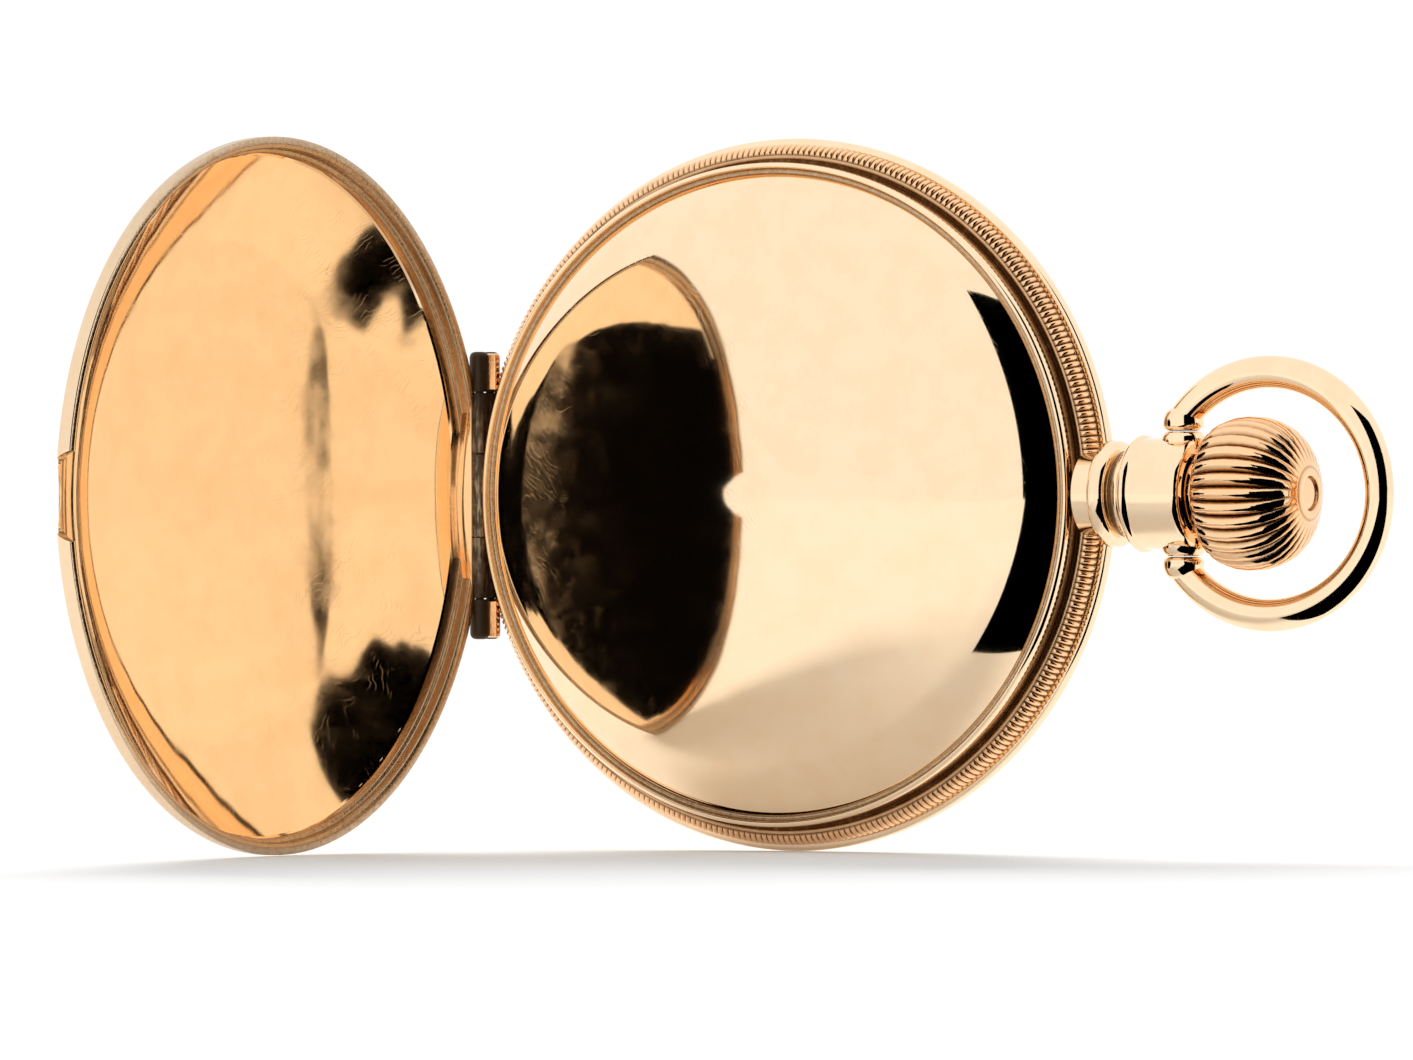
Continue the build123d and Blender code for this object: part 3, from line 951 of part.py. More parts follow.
CLICK_REACH = RATCHET_MODULE * RATCHET_TEETH / 2 + 1.7
CLICK_TURN = 62
CLICK_SCREW_R = 0.4
CLICK_OFFSET = polar(CLICK_REACH, CLICK_TURN)
CLICK = (BARREL[0] + CLICK_OFFSET[0], BARREL[1] + CLICK_OFFSET[1])
with BuildPart() as click:
    with BuildSketch(face_plane(RATCHET_H, CLICK, CLICK_TURN), mode=Mode.PRIVATE) as outline:
        Circle(0.9)
        Polygon((0.6, 0), (-0.2, 3.2), (-1.15, 3.4), (-0.85, 0), align=None)
        Circle(CLICK_SCREW_R + PIVOT_FIT, mode=Mode.SUBTRACT)
    extrude(outline.sketch, amount=0.35)

with BuildPart() as click_screw:
    ring(CLICK_SCREW_R, 0, PLATE_FRONT_H, RATCHET_H + 0.4, CLICK)
    ring(CLICK_SCREW_R + 0.35, 0, RATCHET_H + 0.4, RATCHET_H + 0.55, CLICK)

with BuildPart() as cannon_pinion:
    pinion(CANNON_TEETH, CANNON_MODULE, CENTRE, CANNON_H, CANNON_H + 0.4,
           facing_mesh(MINUTE_WHEEL, CENTRE, CANNON_TEETH))
    ring(CANNON_PIPE_R, 0, CANNON_H, MINUTE_HAND_H + TRAIN_WALL)
    ring(ARBOR_R, 0, 0, CENTRE_END_H, mode=Mode.SUBTRACT)

with BuildPart() as minute_wheel:
    pinion(MINUTE_WHEEL_TEETH, CANNON_MODULE, MINUTE_WHEEL, MINUTE_WHEEL_H, MINUTE_WHEEL_H + 0.3, 0)
    pinion(MINUTE_PINION_TEETH, HOUR_MODULE, MINUTE_WHEEL, MINUTE_WHEEL_H + 0.3, HOUR_WHEEL_H + 0.4, 0)
    ring(POST_R + PIVOT_FIT, 0, 0, POST_TOP_H + PIVOT_FIT, MINUTE_WHEEL, Mode.SUBTRACT)

with BuildPart() as hour_wheel:
    with BuildSketch(face_plane(HOUR_WHEEL_H), mode=Mode.PRIVATE) as outline:
        gear_outline(HOUR_TEETH, HOUR_MODULE, facing_mesh(MINUTE_WHEEL, CENTRE, HOUR_TEETH))
    extrude(outline.sketch, amount=TRAIN_WALL)
    ring(HOUR_PIPE_R, 0, HOUR_WHEEL_H, HOUR_HAND_H + 0.25)
    ring(CANNON_PIPE_R + PIVOT_FIT, 0, 0, MINUTE_HAND_H + 1, mode=Mode.SUBTRACT)

# ---------------------------------------------------------------- dial and hands
with BuildPart() as dial:
    ring(DIAL_R, HOUR_PIPE_R + 0.15, DIAL_BACK_H, DIAL_FRONT_H)
    ring(SECONDS_DIAL_R, 0, DIAL_FRONT_H - 0.15, DIAL_FRONT_H + 0.1, FOURTH, Mode.SUBTRACT)
    ring(ARBOR_R + 0.15, 0, DIAL_BACK_H - 0.5, DIAL_FRONT_H, FOURTH, Mode.SUBTRACT)
    for angle in DIAL_FEET_ANGLES:
        ring(POST_R, 0, PLATE_FRONT_H, DIAL_BACK_H, polar(DIAL_R - 2.2, angle))

MINUTE_ANGLE = 6 * (REST_TIME[1] + REST_TIME[2] / 60)
HOUR_ANGLE = 30 * REST_TIME[0] + MINUTE_ANGLE / 12
SECOND_ANGLE = 6 * REST_TIME[2]
with BuildPart() as hour_hand:
    with BuildSketch(face_plane(HOUR_HAND_H, CENTRE, -HOUR_ANGLE), mode=Mode.PRIVATE) as outline:
        hand_outline(HOUR_HAND, 1.5, HOUR_PIPE_R + 0.6, 0.5)
        Circle(HOUR_PIPE_R, mode=Mode.SUBTRACT)
    extrude(outline.sketch, amount=HAND_WALL)

with BuildPart() as minute_hand:
    with BuildSketch(face_plane(MINUTE_HAND_H, CENTRE, -MINUTE_ANGLE), mode=Mode.PRIVATE) as outline:
        hand_outline(MINUTE_HAND, 1.3, CANNON_PIPE_R + 0.55, 0.5)
        Circle(CANNON_PIPE_R, mode=Mode.SUBTRACT)
    extrude(outline.sketch, amount=HAND_WALL)

with BuildPart() as seconds_hand:
    with BuildSketch(face_plane(SECONDS_HAND_H, FOURTH, -SECOND_ANGLE), mode=Mode.PRIVATE) as outline:
        Circle(0.55)
        Polygon((-0.16, 0), (0.16, 0), (0.06, SECONDS_HAND), (-0.06, SECONDS_HAND), align=None)
        Polygon((-0.14, 0), (0.14, 0), (0.22, -1.8), (-0.22, -1.8), align=None)
        Circle(ARBOR_R, mode=Mode.SUBTRACT)
    extrude(outline.sketch, amount=HAND_WALL - PIVOT_FIT)

# ---------------------------------------------------------------- files
PIECES = {
    "case_center": case_center,
    "pendant": pendant,
    "bow": bow,
    "crown": crown,
    "crown_cap": crown_cap,
    "winding_stem": winding_stem,
    "stem_sleeve": stem_sleeve,
    "lid_catch": lid_catch,
    "back_cover": back_cover,
    "front_cover": front_cover,
    "cuvette": cuvette,
    "rear_hinge_pin": rear_hinge_pin,
    "front_hinge_pin": front_hinge_pin,
    "bezel": bezel,
    "crystal": crystal,
    "lift_spring": lift_spring,
    "case_screws": case_screws,
    "pillar_plate": pillar_plate,
    "pillars": pillars,
    "top_plate": top_plate,
    "top_plate_screws": top_plate_screws,
    "jewels": jewels,
    "balance_cock": balance_cock,
    "cock_screw": cock_screw,
    "cock_jewel": cock_jewel,
    "barrel": barrel,
    "barrel_cover": barrel_cover,
    "barrel_arbor": barrel_arbor,
    "mainspring": mainspring,
    "centre_wheel": centre_wheel,
    "centre_pinion": centre_pinion,
    "third_wheel": third_wheel,
    "third_pinion": third_pinion,
    "fourth_wheel": fourth_wheel,
    "fourth_pinion": fourth_pinion,
    "escape_wheel": escape_wheel,
    "escape_pinion": escape_pinion,
    "pallet_fork": pallet_fork,
    "pallet_stones": pallet_stones,
    "pallet_arbor": pallet_arbor,
    "balance_wheel": balance_wheel,
    "balance_screws": balance_screws,
    "balance_staff": balance_staff,
    "roller": roller,
    "hairspring": hairspring,
    "regulator": regulator,
    "winding_pinion": winding_pinion,
    "crown_wheel": crown_wheel,
    "ratchet_wheel": ratchet_wheel,
    "click": click,
    "click_screw": click_screw,
    "cannon_pinion": cannon_pinion,
    "minute_wheel": minute_wheel,
    "hour_wheel": hour_wheel,
    "dial": dial,
    "hour_hand": hour_hand,
    "minute_hand": minute_hand,
    "seconds_hand": seconds_hand,
}
for name, piece in PIECES.items():
    piece.part.label = name
    export_step(piece.part, f"parts/{name}.step")
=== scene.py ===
"""Finish of a hunter-case pocket watch: polished and engraved gold, its movement, dial, light and camera."""
import json
import math

import bpy
from mathutils import Matrix, Vector

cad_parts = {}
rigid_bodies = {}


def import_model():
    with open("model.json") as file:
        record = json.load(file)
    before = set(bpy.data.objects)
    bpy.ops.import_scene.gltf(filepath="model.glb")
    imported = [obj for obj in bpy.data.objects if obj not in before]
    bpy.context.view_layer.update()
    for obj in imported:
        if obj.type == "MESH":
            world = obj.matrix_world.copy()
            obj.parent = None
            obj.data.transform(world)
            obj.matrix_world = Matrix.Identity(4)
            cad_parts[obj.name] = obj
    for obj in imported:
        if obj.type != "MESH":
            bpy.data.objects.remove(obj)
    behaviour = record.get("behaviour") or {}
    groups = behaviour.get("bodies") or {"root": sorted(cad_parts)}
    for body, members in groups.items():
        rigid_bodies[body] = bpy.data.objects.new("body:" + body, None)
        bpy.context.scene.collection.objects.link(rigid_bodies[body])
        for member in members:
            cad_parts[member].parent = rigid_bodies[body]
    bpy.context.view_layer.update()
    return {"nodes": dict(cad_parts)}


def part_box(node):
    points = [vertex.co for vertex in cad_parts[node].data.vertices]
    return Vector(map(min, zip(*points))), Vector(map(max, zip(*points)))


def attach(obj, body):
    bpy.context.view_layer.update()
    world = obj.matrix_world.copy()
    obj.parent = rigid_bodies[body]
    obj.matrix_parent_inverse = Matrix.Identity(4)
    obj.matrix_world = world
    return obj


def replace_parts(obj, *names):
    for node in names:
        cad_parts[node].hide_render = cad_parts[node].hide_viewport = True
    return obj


bl_info = {
    "name": "Hunter Pocket Watch",
    "version": (1, 0, 0),
    "blender": (4, 5, 0),
    "location": "3D View > Sidebar > Watch",
    "description": "Finishes a hunter-case pocket watch around its fixed frame",
    "category": "Object",
}

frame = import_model()
MM = 0.001


def span(node):
    """Lowest and highest corner of a frame part, in millimetres."""
    low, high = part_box(node)
    return low / MM, high / MM


LIP_HIGH = span("front_cover")[1]
BAND_HIGH = span("case_center")[1]
CUVETTE_LOW, CUVETTE_HIGH = span("cuvette")
BEZEL_LOW, BEZEL_HIGH = span("bezel")
CRYSTAL_HIGH = span("crystal")[1]
PIN_LOW, PIN_HIGH = span("rear_hinge_pin")
LID_PIN_LOW, LID_PIN_HIGH = span("front_hinge_pin")
CROWN_LOW, CROWN_HIGH = span("crown")
BOW_LOW, BOW_HIGH = span("bow")
DIAL_HIGH = span("dial")[1]

CENTRE_Z = (PIN_LOW.z + PIN_HIGH.z) / 2
LIP_R = CENTRE_Z
REED_R = BAND_HIGH.x
CUVETTE_R = CUVETTE_HIGH.x
HINGE_X = (PIN_LOW.x + PIN_HIGH.x) / 2
HINGE_HALF = (PIN_HIGH.z - PIN_LOW.z) / 2
REAR_H = (PIN_LOW.y + PIN_HIGH.y) / 2
FRONT_H = (LID_PIN_LOW.y + LID_PIN_HIGH.y) / 2
PENDANT_H = (REAR_H + FRONT_H) / 2
REAR_HINGE = Vector((HINGE_X, REAR_H, CENTRE_Z)) * MM
CENTRE = Vector((0, 0, CENTRE_Z)) * MM
KNUCKLE_R = 0.8
LEAF_HALF = 8.4
MIDDLE_HALF = 3.4
NECK_CLEARANCE = 3.65
BOW_WIRE_R = 1.25
BACK_R = LIP_R - 0.1
BACK_APEX = -8.5
OPEN_ANGLE = math.radians(-95)
BAND_BORE_R = 22.6
SLEEVE_END_X = CROWN_LOW.x + 0.35   # the crown's base sits this far inside the sleeve
BOW_PIVOT_X = BOW_LOW.x + BOW_WIRE_R
COVER_WALL = 0.5
CUVETTE_WALL = 0.4
DOME_CURVE = 110.0
BACK_REACH, FRONT_REACH, CUVETTE_REACH = 19.0, 22.0, 21.5   # where each dome turns into its shoulder
FINE = 720                          # segments around the large turned pieces

# Slight crown that polishing left on the inner cover: where its ridge stands, how far its turn is
# rounded, its tilt and its slope to both sides
CROWN_LINE_X, CROWN_ROUND, CROWN_TILT, CROWN_SLOPE = 11.0, 6.0, 0.0044, 0.0393

# Radii of the engraving, from the plain shield outward
SHIELD_R, FIELD_IN_R, FIELD_OUT_R, INNER_RING_R, VINE_R, OUTER_RING_R = 8.0, 8.4, 20.2, 20.9, 24.7, 27.9


# ------------------------------------------------------------------ settings a user would change
class WatchCaseSettings(bpy.types.PropertyGroup):
    """Sizes and colours of the case"""

    gold: bpy.props.FloatVectorProperty(
        name="Gold", description="Colour of the polished gold", subtype="COLOR", size=3,
        min=0, max=1, default=(1.0, 0.77, 0.52))
    # Grime colour: dirt in the recesses, made a saturated dark orange as painted shade of light bounced between gold
    # walls.
    grime: bpy.props.FloatVectorProperty(
        name="Grime", description="Colour of the dirt in the recesses", subtype="COLOR", size=3,
        min=0, max=1, default=(0.14, 0.052, 0.012))
    tarnish: bpy.props.FloatVectorProperty(
        name="Tarnish", description="Colour of the tarnished hinge", subtype="COLOR", size=3,
        min=0, max=1, default=(0.07, 0.045, 0.028))
    reeds: bpy.props.IntProperty(
        name="Reeds", description="Bars around the coin edge", default=340, min=60, max=720)
    reed_height: bpy.props.FloatProperty(
        name="Reed height", description="How far each bar stands out", default=0.13 * MM, unit="LENGTH")
    flutes: bpy.props.IntProperty(
        name="Flutes", description="Flutes around the crown", default=30, min=8, max=60)
    flute_depth: bpy.props.FloatProperty(
        name="Flute depth", description="Depth of a flute at the crown's widest place",
        default=0.62 * MM, unit="LENGTH")
    engraving: bpy.props.FloatProperty(
        name="Engraving", description="Depth of the engraving outside the covers",
        default=0.07 * MM, unit="LENGTH")


class WatchMovementSettings(bpy.types.PropertyGroup):
    """Colours of the movement and the dial"""

    plate: bpy.props.FloatVectorProperty(
        name="Plates", description="Colour of the nickel plates", subtype="COLOR", size=3,
        min=0, max=1, default=(0.62, 0.58, 0.52))
    brass: bpy.props.FloatVectorProperty(
        name="Wheels", description="Colour of the gilt wheels", subtype="COLOR", size=3,
        min=0, max=1, default=(0.83, 0.58, 0.24))
    blued: bpy.props.FloatVectorProperty(
        name="Blued steel", description="Colour of hands and screws", subtype="COLOR", size=3,
        min=0, max=1, default=(0.012, 0.022, 0.16))
    enamel: bpy.props.FloatVectorProperty(
        name="Enamel", description="Colour of the dial", subtype="COLOR", size=3,
        min=0, max=1, default=(0.86, 0.85, 0.81))


class WatchStageSettings(bpy.types.PropertyGroup):
    """Light, floor and camera"""

    light: bpy.props.FloatProperty(
        name="Light", description="Level of the white surroundings", default=1.05, min=0)
    lamp: bpy.props.FloatProperty(
        name="Lamps", description="Strength of the soft lamp overhead", default=2.4, min=0)
    azimuth: bpy.props.FloatProperty(
        name="Azimuth", description="Direction of the camera around the watch, from its back",
        default=math.radians(28.14), subtype="ANGLE")
    distance: bpy.props.FloatProperty(
        name="Distance", description="Distance of the camera", default=1.0494, unit="LENGTH")
    lens: bpy.props.FloatProperty(
        name="Lens", description="Focal length in millimetres", default=332.26, min=1)


# ------------------------------------------------------------------ outlines
def sag(radius, curvature=DOME_CURVE):
    """Drop of a dome from its apex."""
    return curvature - math.sqrt(curvature * curvature - radius * radius)


def tangent_arc(start, tangent, end, steps):
    """Points after the start of the arc that leaves it along the tangent and reaches the end."""
    cx, cy = end[0] - start[0], end[1] - start[1]
    tx, ty = tangent
    turn = 2 * math.atan2(tx * cy - ty * cx, tx * cx + ty * cy)
    radius = math.hypot(cx, cy) / (2 * math.sin(turn / 2))
    points = []
    for step in range(1, steps + 1):
        a = turn * step / steps
        along, across = radius * math.sin(a), radius * (1 - math.cos(a))
        points.append((start[0] + along * tx - across * ty, start[1] + along * ty + across * tx))
    return points


def dome(apex, towards, reach, foot, steps=34):
    """Points from the axis over a flat dome and its shoulder to the foot."""
    points = []
    for step in range(steps + 1):
        r = reach * step / steps
        points.append((r, apex - towards * sag(r)))
    slope = reach / DOME_CURVE
    tangent = (math.sqrt(1 - slope * slope), -towards * slope)
    return points + tangent_arc(points[-1], tangent, foot, steps)


def rounded(corners, steps=5):
    """Polyline whose corners (x, y, radius) are rounded with small arcs."""
    points = []
    for number, corner in enumerate(corners):
        here = Vector(corner[:2])
        radius = corner[2] if len(corner) > 2 else 0.0
        if radius == 0 or number in (0, len(corners) - 1):
            points.append(tuple(here))
            continue
        before = (Vector(corners[number - 1][:2]) - here).normalized()
        after = (Vector(corners[number + 1][:2]) - here).normalized()
        for step in range(steps + 1):
            t = step / steps
            start, end = here + before * radius, here + after * radius
            points.append(tuple((1 - t) ** 2 * start + 2 * t * (1 - t) * here + t * t * end))
    return points


# ------------------------------------------------------------------ meshes
def new_object(name, vertices, faces, material, sharp=35.0):
    """Object with a smooth-shaded mesh, sharp only where its faces meet at a larger angle."""
    mesh = bpy.data.meshes.new(name)
    mesh.from_pydata([tuple(v) for v in vertices], [], faces)
    mesh.validate()
    for polygon in mesh.polygons:
        polygon.use_smooth = True
    mesh.set_sharp_from_angle(angle=math.radians(sharp))
    mesh.materials.append(material)
    made = bpy.data.objects.new(name, mesh)
    bpy.context.scene.collection.objects.link(made)
    return made


def face_point(r, h, angle, at=(0.0, 0.0)):
    """Point at a radius, a height toward the dial and an angle, about a shaft of the watch."""
    return Vector((at[0] + r * math.cos(angle), h, CENTRE_Z - at[1] - r * math.sin(angle))) * MM


def pendant_point(r, x, angle):
    """Point at a radius about the pendant's axis, at a distance from the middle of the watch."""
    return Vector((x, PENDANT_H + r * math.sin(angle), CENTRE_Z + r * math.cos(angle))) * MM


def level_point(hinge_h):
    """Placing function for turned pieces about a hinge; their second value is the level."""
    def place(r, level, angle):
        return Vector((HINGE_X + r * math.cos(angle), hinge_h + r * math.sin(angle), CENTRE_Z + level)) * MM
    return place


def lathe(name, outline, material, segments=192, place=face_point, warp=None, closed=False, sharp=35.0,
          dirt=None):
    """Turned piece; outline points on the axis become poles, and warp moves finished points."""
    vertices, rings, faces, levels = [], [], [], []
    for number, (r, h) in enumerate(outline):
        if r < 1e-6:
            rings.append([len(vertices)])
            vertices.append(place(0, h, 0))
            levels.append(dirt(number, 0, r, h) if dirt else 0.0)
            continue
        rings.append(list(range(len(vertices), len(vertices) + segments)))
        for step in range(segments):
            angle = 2 * math.pi * step / segments
            point = place(r, h, angle)
            vertices.append(warp(point, r, h, angle) if warp else point)
            levels.append(dirt(number, angle, r, h) if dirt else 0.0)
    pairs = list(zip(rings, rings[1:]))
    if closed:
        pairs.append((rings[-1], rings[0]))
    for a, b in pairs:
        for step in range(segments):
            after = (step + 1) % segments
            if len(a) == 1 and len(b) == 1:
                continue
            if len(a) == 1:
                faces.append((a[0], b[step], b[after]))
            elif len(b) == 1:
                faces.append((a[after], a[step], b[0]))
            else:
                faces.append((a[after], a[step], b[step], b[after]))
    made = new_object(name, vertices, faces, material, sharp)
    # Level of dirt and painted shade at each point, which takes the grime colour.
    if dirt:
        layer = made.data.attributes.new("dirt", "FLOAT", "POINT")
        layer.data.foreach_set("value", levels)
    outward(made)
    return made


def ribbed(name, vertices, levels, rows, material, sharp):
    """Closed ring from rows of points, each row once around, with a level of dirt and painted shade for each point."""
    segments = len(vertices) // rows
    faces = []
    for row in range(rows):
        a, b = row * segments, ((row + 1) % rows) * segments
        for step in range(segments):
            after = (step + 1) % segments
            faces.append((a + step, a + after, b + after, b + step))
    made = new_object(name, vertices, faces, material, sharp)
    layer = made.data.attributes.new("dirt", "FLOAT", "POINT")
    layer.data.foreach_set("value", [max(0.0, level) for level in levels])
    outward(made)
    return made


def outward(made):
    """Turn every face of a closed mesh outward."""
    import bmesh
    work = bmesh.new()
    work.from_mesh(made.data)
    bmesh.ops.dissolve_degenerate(work, dist=1e-7, edges=work.edges)
    bmesh.ops.recalc_face_normals(work, faces=work.faces)
    work.to_mesh(made.data)
    work.free()


def tube(name, path, radii, material, sides=48, flat=(0.0, 1.0, 0.0)):
    """Wire along a path; each radius pair is the half width in the path's plane and across it."""
    vertices, faces = [], []
    normal = Vector(flat)
    for number, here in enumerate(path):
        before, after = path[max(number - 1, 0)], path[min(number + 1, len(path) - 1)]
        along = (after - before).normalized()
        across = normal.cross(along).normalized()
        for side in range(sides):
            a = 2 * math.pi * side / sides
            offset = across * (math.cos(a) * radii[number][0]) + normal * (math.sin(a) * radii[number][1])
            vertices.append(here + offset)
    for number in range(len(path) - 1):
        for side in range(sides):
            after = (side + 1) % sides
            a, b = number * sides, (number + 1) * sides
            faces.append((a + side, a + after, b + after, b + side))
    faces.append(tuple(range(sides))[::-1])
    faces.append(tuple(range(len(vertices) - sides, len(vertices))))
    made = new_object(name, vertices, faces, material)
    outward(made)
    return made


def bar(name, low, high, material, bevel=0.08):
    """Block with rounded edges between two corners, in millimetres."""
    corners = [(x, y, z) for x in (low[0], high[0]) for y in (low[1], high[1]) for z in (low[2], high[2])]
    vertices = [Vector(c) * MM for c in corners]
    faces = [(0, 1, 3, 2), (4, 6, 7, 5), (0, 4, 5, 1), (2, 3, 7, 6), (0, 2, 6, 4), (1, 5, 7, 3)]
    made = new_object(name, vertices, faces, material)
    outward(made)
    soften(made, bevel)
    return made


def soften(made, width, segments=3):
    """Round the edges of a piece."""
    edge = made.modifiers.new("edge", "BEVEL")
    edge.width = width * MM
    edge.segments = segments
    edge.limit_method = "ANGLE"
    edge.angle_limit = math.radians(35)
    edge.harden_normals = True


def join(name, pieces):
    """One mesh out of several, keeping their materials and attributes."""
    for piece in bpy.context.scene.objects:
        piece.select_set(False)
    for piece in pieces:
        piece.select_set(True)
    bpy.context.view_layer.objects.active = pieces[0]
    bpy.ops.object.join()
    pieces[0].name = name
    return pieces[0]


# ------------------------------------------------------------------ shader arithmetic
class Signal:
    """A shader socket that takes part in plain arithmetic."""

    def __init__(self, finish, socket):
        self.finish = finish
        self.socket = socket

    def math(self, operation, *values):
        return self.finish.node("ShaderNodeMath", {"operation": operation}, dict(enumerate(values)))

    def __add__(self, other):
        return self.math("ADD", self, other)

    def __sub__(self, other):
        return self.math("SUBTRACT", self, other)

    def __rsub__(self, other):
        return self.math("SUBTRACT", other, self)

    def __mul__(self, other):
        return self.math("MULTIPLY", self, other)

    def __truediv__(self, other):
        return self.math("DIVIDE", self, other)

    def __pow__(self, other):
        return self.math("POWER", self, other)

    __radd__ = __add__
    __rmul__ = __mul__

    def sine(self):
        return self.math("SINE", self)

    def clamp(self):
        return self.finish.node("ShaderNodeClamp", {}, {0: self})

    def between(self, low, high):
        """0 below the low value, 1 above the high one, smooth in between."""
        return self.finish.node(
            "ShaderNodeMapRange", {"interpolation_type": "SMOOTHSTEP"}, {0: self, 1: low, 2: high, 3: 0.0, 4: 1.0})


SOCKETS = {
    "metallic": "Metallic", "roughness": "Roughness", "coat_weight": "Coat Weight",
    "coat_roughness": "Coat Roughness", "specular_ior_level": "Specular IOR Level",
    "transmission": "Transmission Weight", "ior": "IOR", "emission_strength": "Emission Strength",
}


class Network:
    """A node tree that signals are worked out in, with the shader that they drive."""

    def __init__(self, tree, shader=None):
        self.tree = tree
        self.shader = tree.nodes[shader] if shader else None

    def node(self, kind, settings=None, inputs=None, output=0):
        """Add a node; settings are set first, then its sockets take values or signals."""
        made = self.tree.nodes.new(kind)
        for key, value in (settings or {}).items():
            if key == "stops":
                for number, (place, colour) in enumerate(value):
                    ramp = made.color_ramp.elements
                    stop = ramp[number] if number < 2 else ramp.new(place)
                    stop.position = place
                    stop.color = (*colour, 1)
            else:
                setattr(made, key, value)
        for key, value in (inputs or {}).items():
            if isinstance(value, Signal):
                self.tree.links.new(value.socket, made.inputs[key])
            else:
                made.inputs[key].default_value = value
        return Signal(self, made.outputs[output]) if made.outputs else None

    def drive(self, socket, value):
        """Link a signal to a socket of the shader."""
        self.tree.links.new(value.socket, self.shader.inputs[socket])

    def ray(self, kind):
        """1 for rays of a kind, such as those of the camera."""
        return self.node("ShaderNodeLightPath", output=kind)

    def parts(self, vector):
        """The three parts of a vector."""
        first = self.node("ShaderNodeSeparateXYZ", {}, {0: vector})
        return [Signal(self, socket) for socket in first.socket.node.outputs]


class Finish(Network):
    """A material under construction."""

    def __init__(self, name, **constants):
        self.material = bpy.data.materials.new(name)
        self.material.use_nodes = True
        super().__init__(self.material.node_tree, "Principled BSDF")
        for socket, value in constants.items():
            self.shader.inputs[SOCKETS[socket]].default_value = value

    def place(self):
        """Object coordinates in millimetres."""
        spot = self.node("ShaderNodeTexCoord", output="Object")
        return self.node("ShaderNodeVectorMath", {"operation": "SCALE"}, {0: spot, "Scale": 1 / MM})

    def noise(self, scale, detail=2.0, place=None, rough=0.5, stretch=None):
        """Cloudy signal around a half; scale counts clouds per millimetre."""
        spot = place or self.place()
        if stretch:
            spot = self.node("ShaderNodeVectorMath", {"operation": "MULTIPLY"}, {0: spot, 1: stretch})
        return self.node("ShaderNodeTexNoise", {}, {
            "Vector": spot, "Scale": scale, "Detail": detail, "Roughness": rough})

    def mix(self, factor, a, b):
        """Colour between two colours."""
        def whole(value):
            return value if isinstance(value, Signal) else (*value, 1)
        return self.node("ShaderNodeMix", {"data_type": "RGBA"}, {0: factor, 6: whole(a), 7: whole(b)}, output=2)

    def attribute(self, name):
        """Level that a piece stores at its points."""
        return self.node("ShaderNodeAttribute", {"attribute_name": name}, output="Fac")

    def bump(self, height, depth, strength=1.0, under=None):
        """Normal from a height signal; depth is in millimetres."""
        inputs = {"Height": height, "Distance": depth * MM, "Strength": strength}
        if under:
            inputs["Normal"] = under
        return self.node("ShaderNodeBump", {}, inputs)


def deeper(gold, tone):
    """Gold with more red in it, for places that hold old dirt and see less polish."""
    return (gold[0], gold[1] * tone, gold[2] * tone * tone)


def polished_gold(settings, name="polished_gold", engraved=False, wear=1.0, crowned=False, dents=0.0,
                  tone=1.0):
    """Bright rolled gold: faint smears, hairline scratches, dirt and painted shade where a piece says so."""
    finish = Finish(name, metallic=1.0)
    spot = finish.place()
    dirt = finish.attribute("dirt")
    patch = finish.noise(0.35, 4.0, spot, 0.6)
    smear = finish.noise(0.12, 5.0, spot, 0.65, stretch=(1.0, 1.0, 2.2))
    gold = deeper(settings.gold, tone)
    rosy = (gold[0] * 0.985, gold[1] * 0.955, gold[2] * 0.93)
    base = finish.mix(patch.between(0.38, 0.68), gold, rosy)
    crumbs = finish.noise(2.6, 3.0, spot, 0.7)
    # Grime colour where a piece marks its recesses: dirt and painted shade.
    soiled_and_shaded = (dirt * (0.55 + crumbs * 0.9)).clamp()
    if engraved:
        cut = engraving(finish, spot)
        soiled_and_shaded = (soiled_and_shaded + cut.between(0.3, 0.95) * 0.55).clamp()
    finish.drive("Base Color", finish.mix(soiled_and_shaded, base, tuple(settings.grime)))
    rough = 0.045 + smear.between(0.46, 0.78) * 0.05 * wear + soiled_and_shaded * 0.38
    finish.drive("Roughness", rough)
    hair = finish.node("ShaderNodeTexWave", {"wave_type": "BANDS", "bands_direction": "DIAGONAL"}, {
        "Vector": spot, "Scale": 0.9, "Distortion": 26.0, "Detail": 3.0, "Detail Scale": 0.35})
    scratches = hair.between(0.985, 1.0) * finish.noise(0.5, 2.0, spot).between(0.5, 0.62)
    normal = finish.bump(scratches, 0.0006 * wear, 1.0)
    normal = finish.bump(finish.noise(0.22, 1.0, spot), 0.012 * wear, 1.0, normal)
    if engraved:
        normal = finish.bump(1 - cut, settings.engraving / MM, 1.0, normal)
    normal = finish.bump(crumbs * soiled_and_shaded, 0.03, 1.0, normal)
    if dents:
        beside_hinge = (0 - finish.parts(spot)[0]).between(6.0, 19.0)
        swell = finish.noise(0.115, 1.0, spot, 0.4, stretch=(1.0, 1.0, 0.5))
        normal = finish.bump(swell * beside_hinge, dents, 1.0, normal)
    if crowned:
        across = finish.parts(spot)[0]
        offset = across - CROWN_LINE_X
        crown = (offset * offset + CROWN_ROUND ** 2) ** 0.5
        normal = finish.bump(across * CROWN_TILT - crown * CROWN_SLOPE, 1.0, 1.0, normal)
    finish.drive("Normal", normal)
    return finish.material


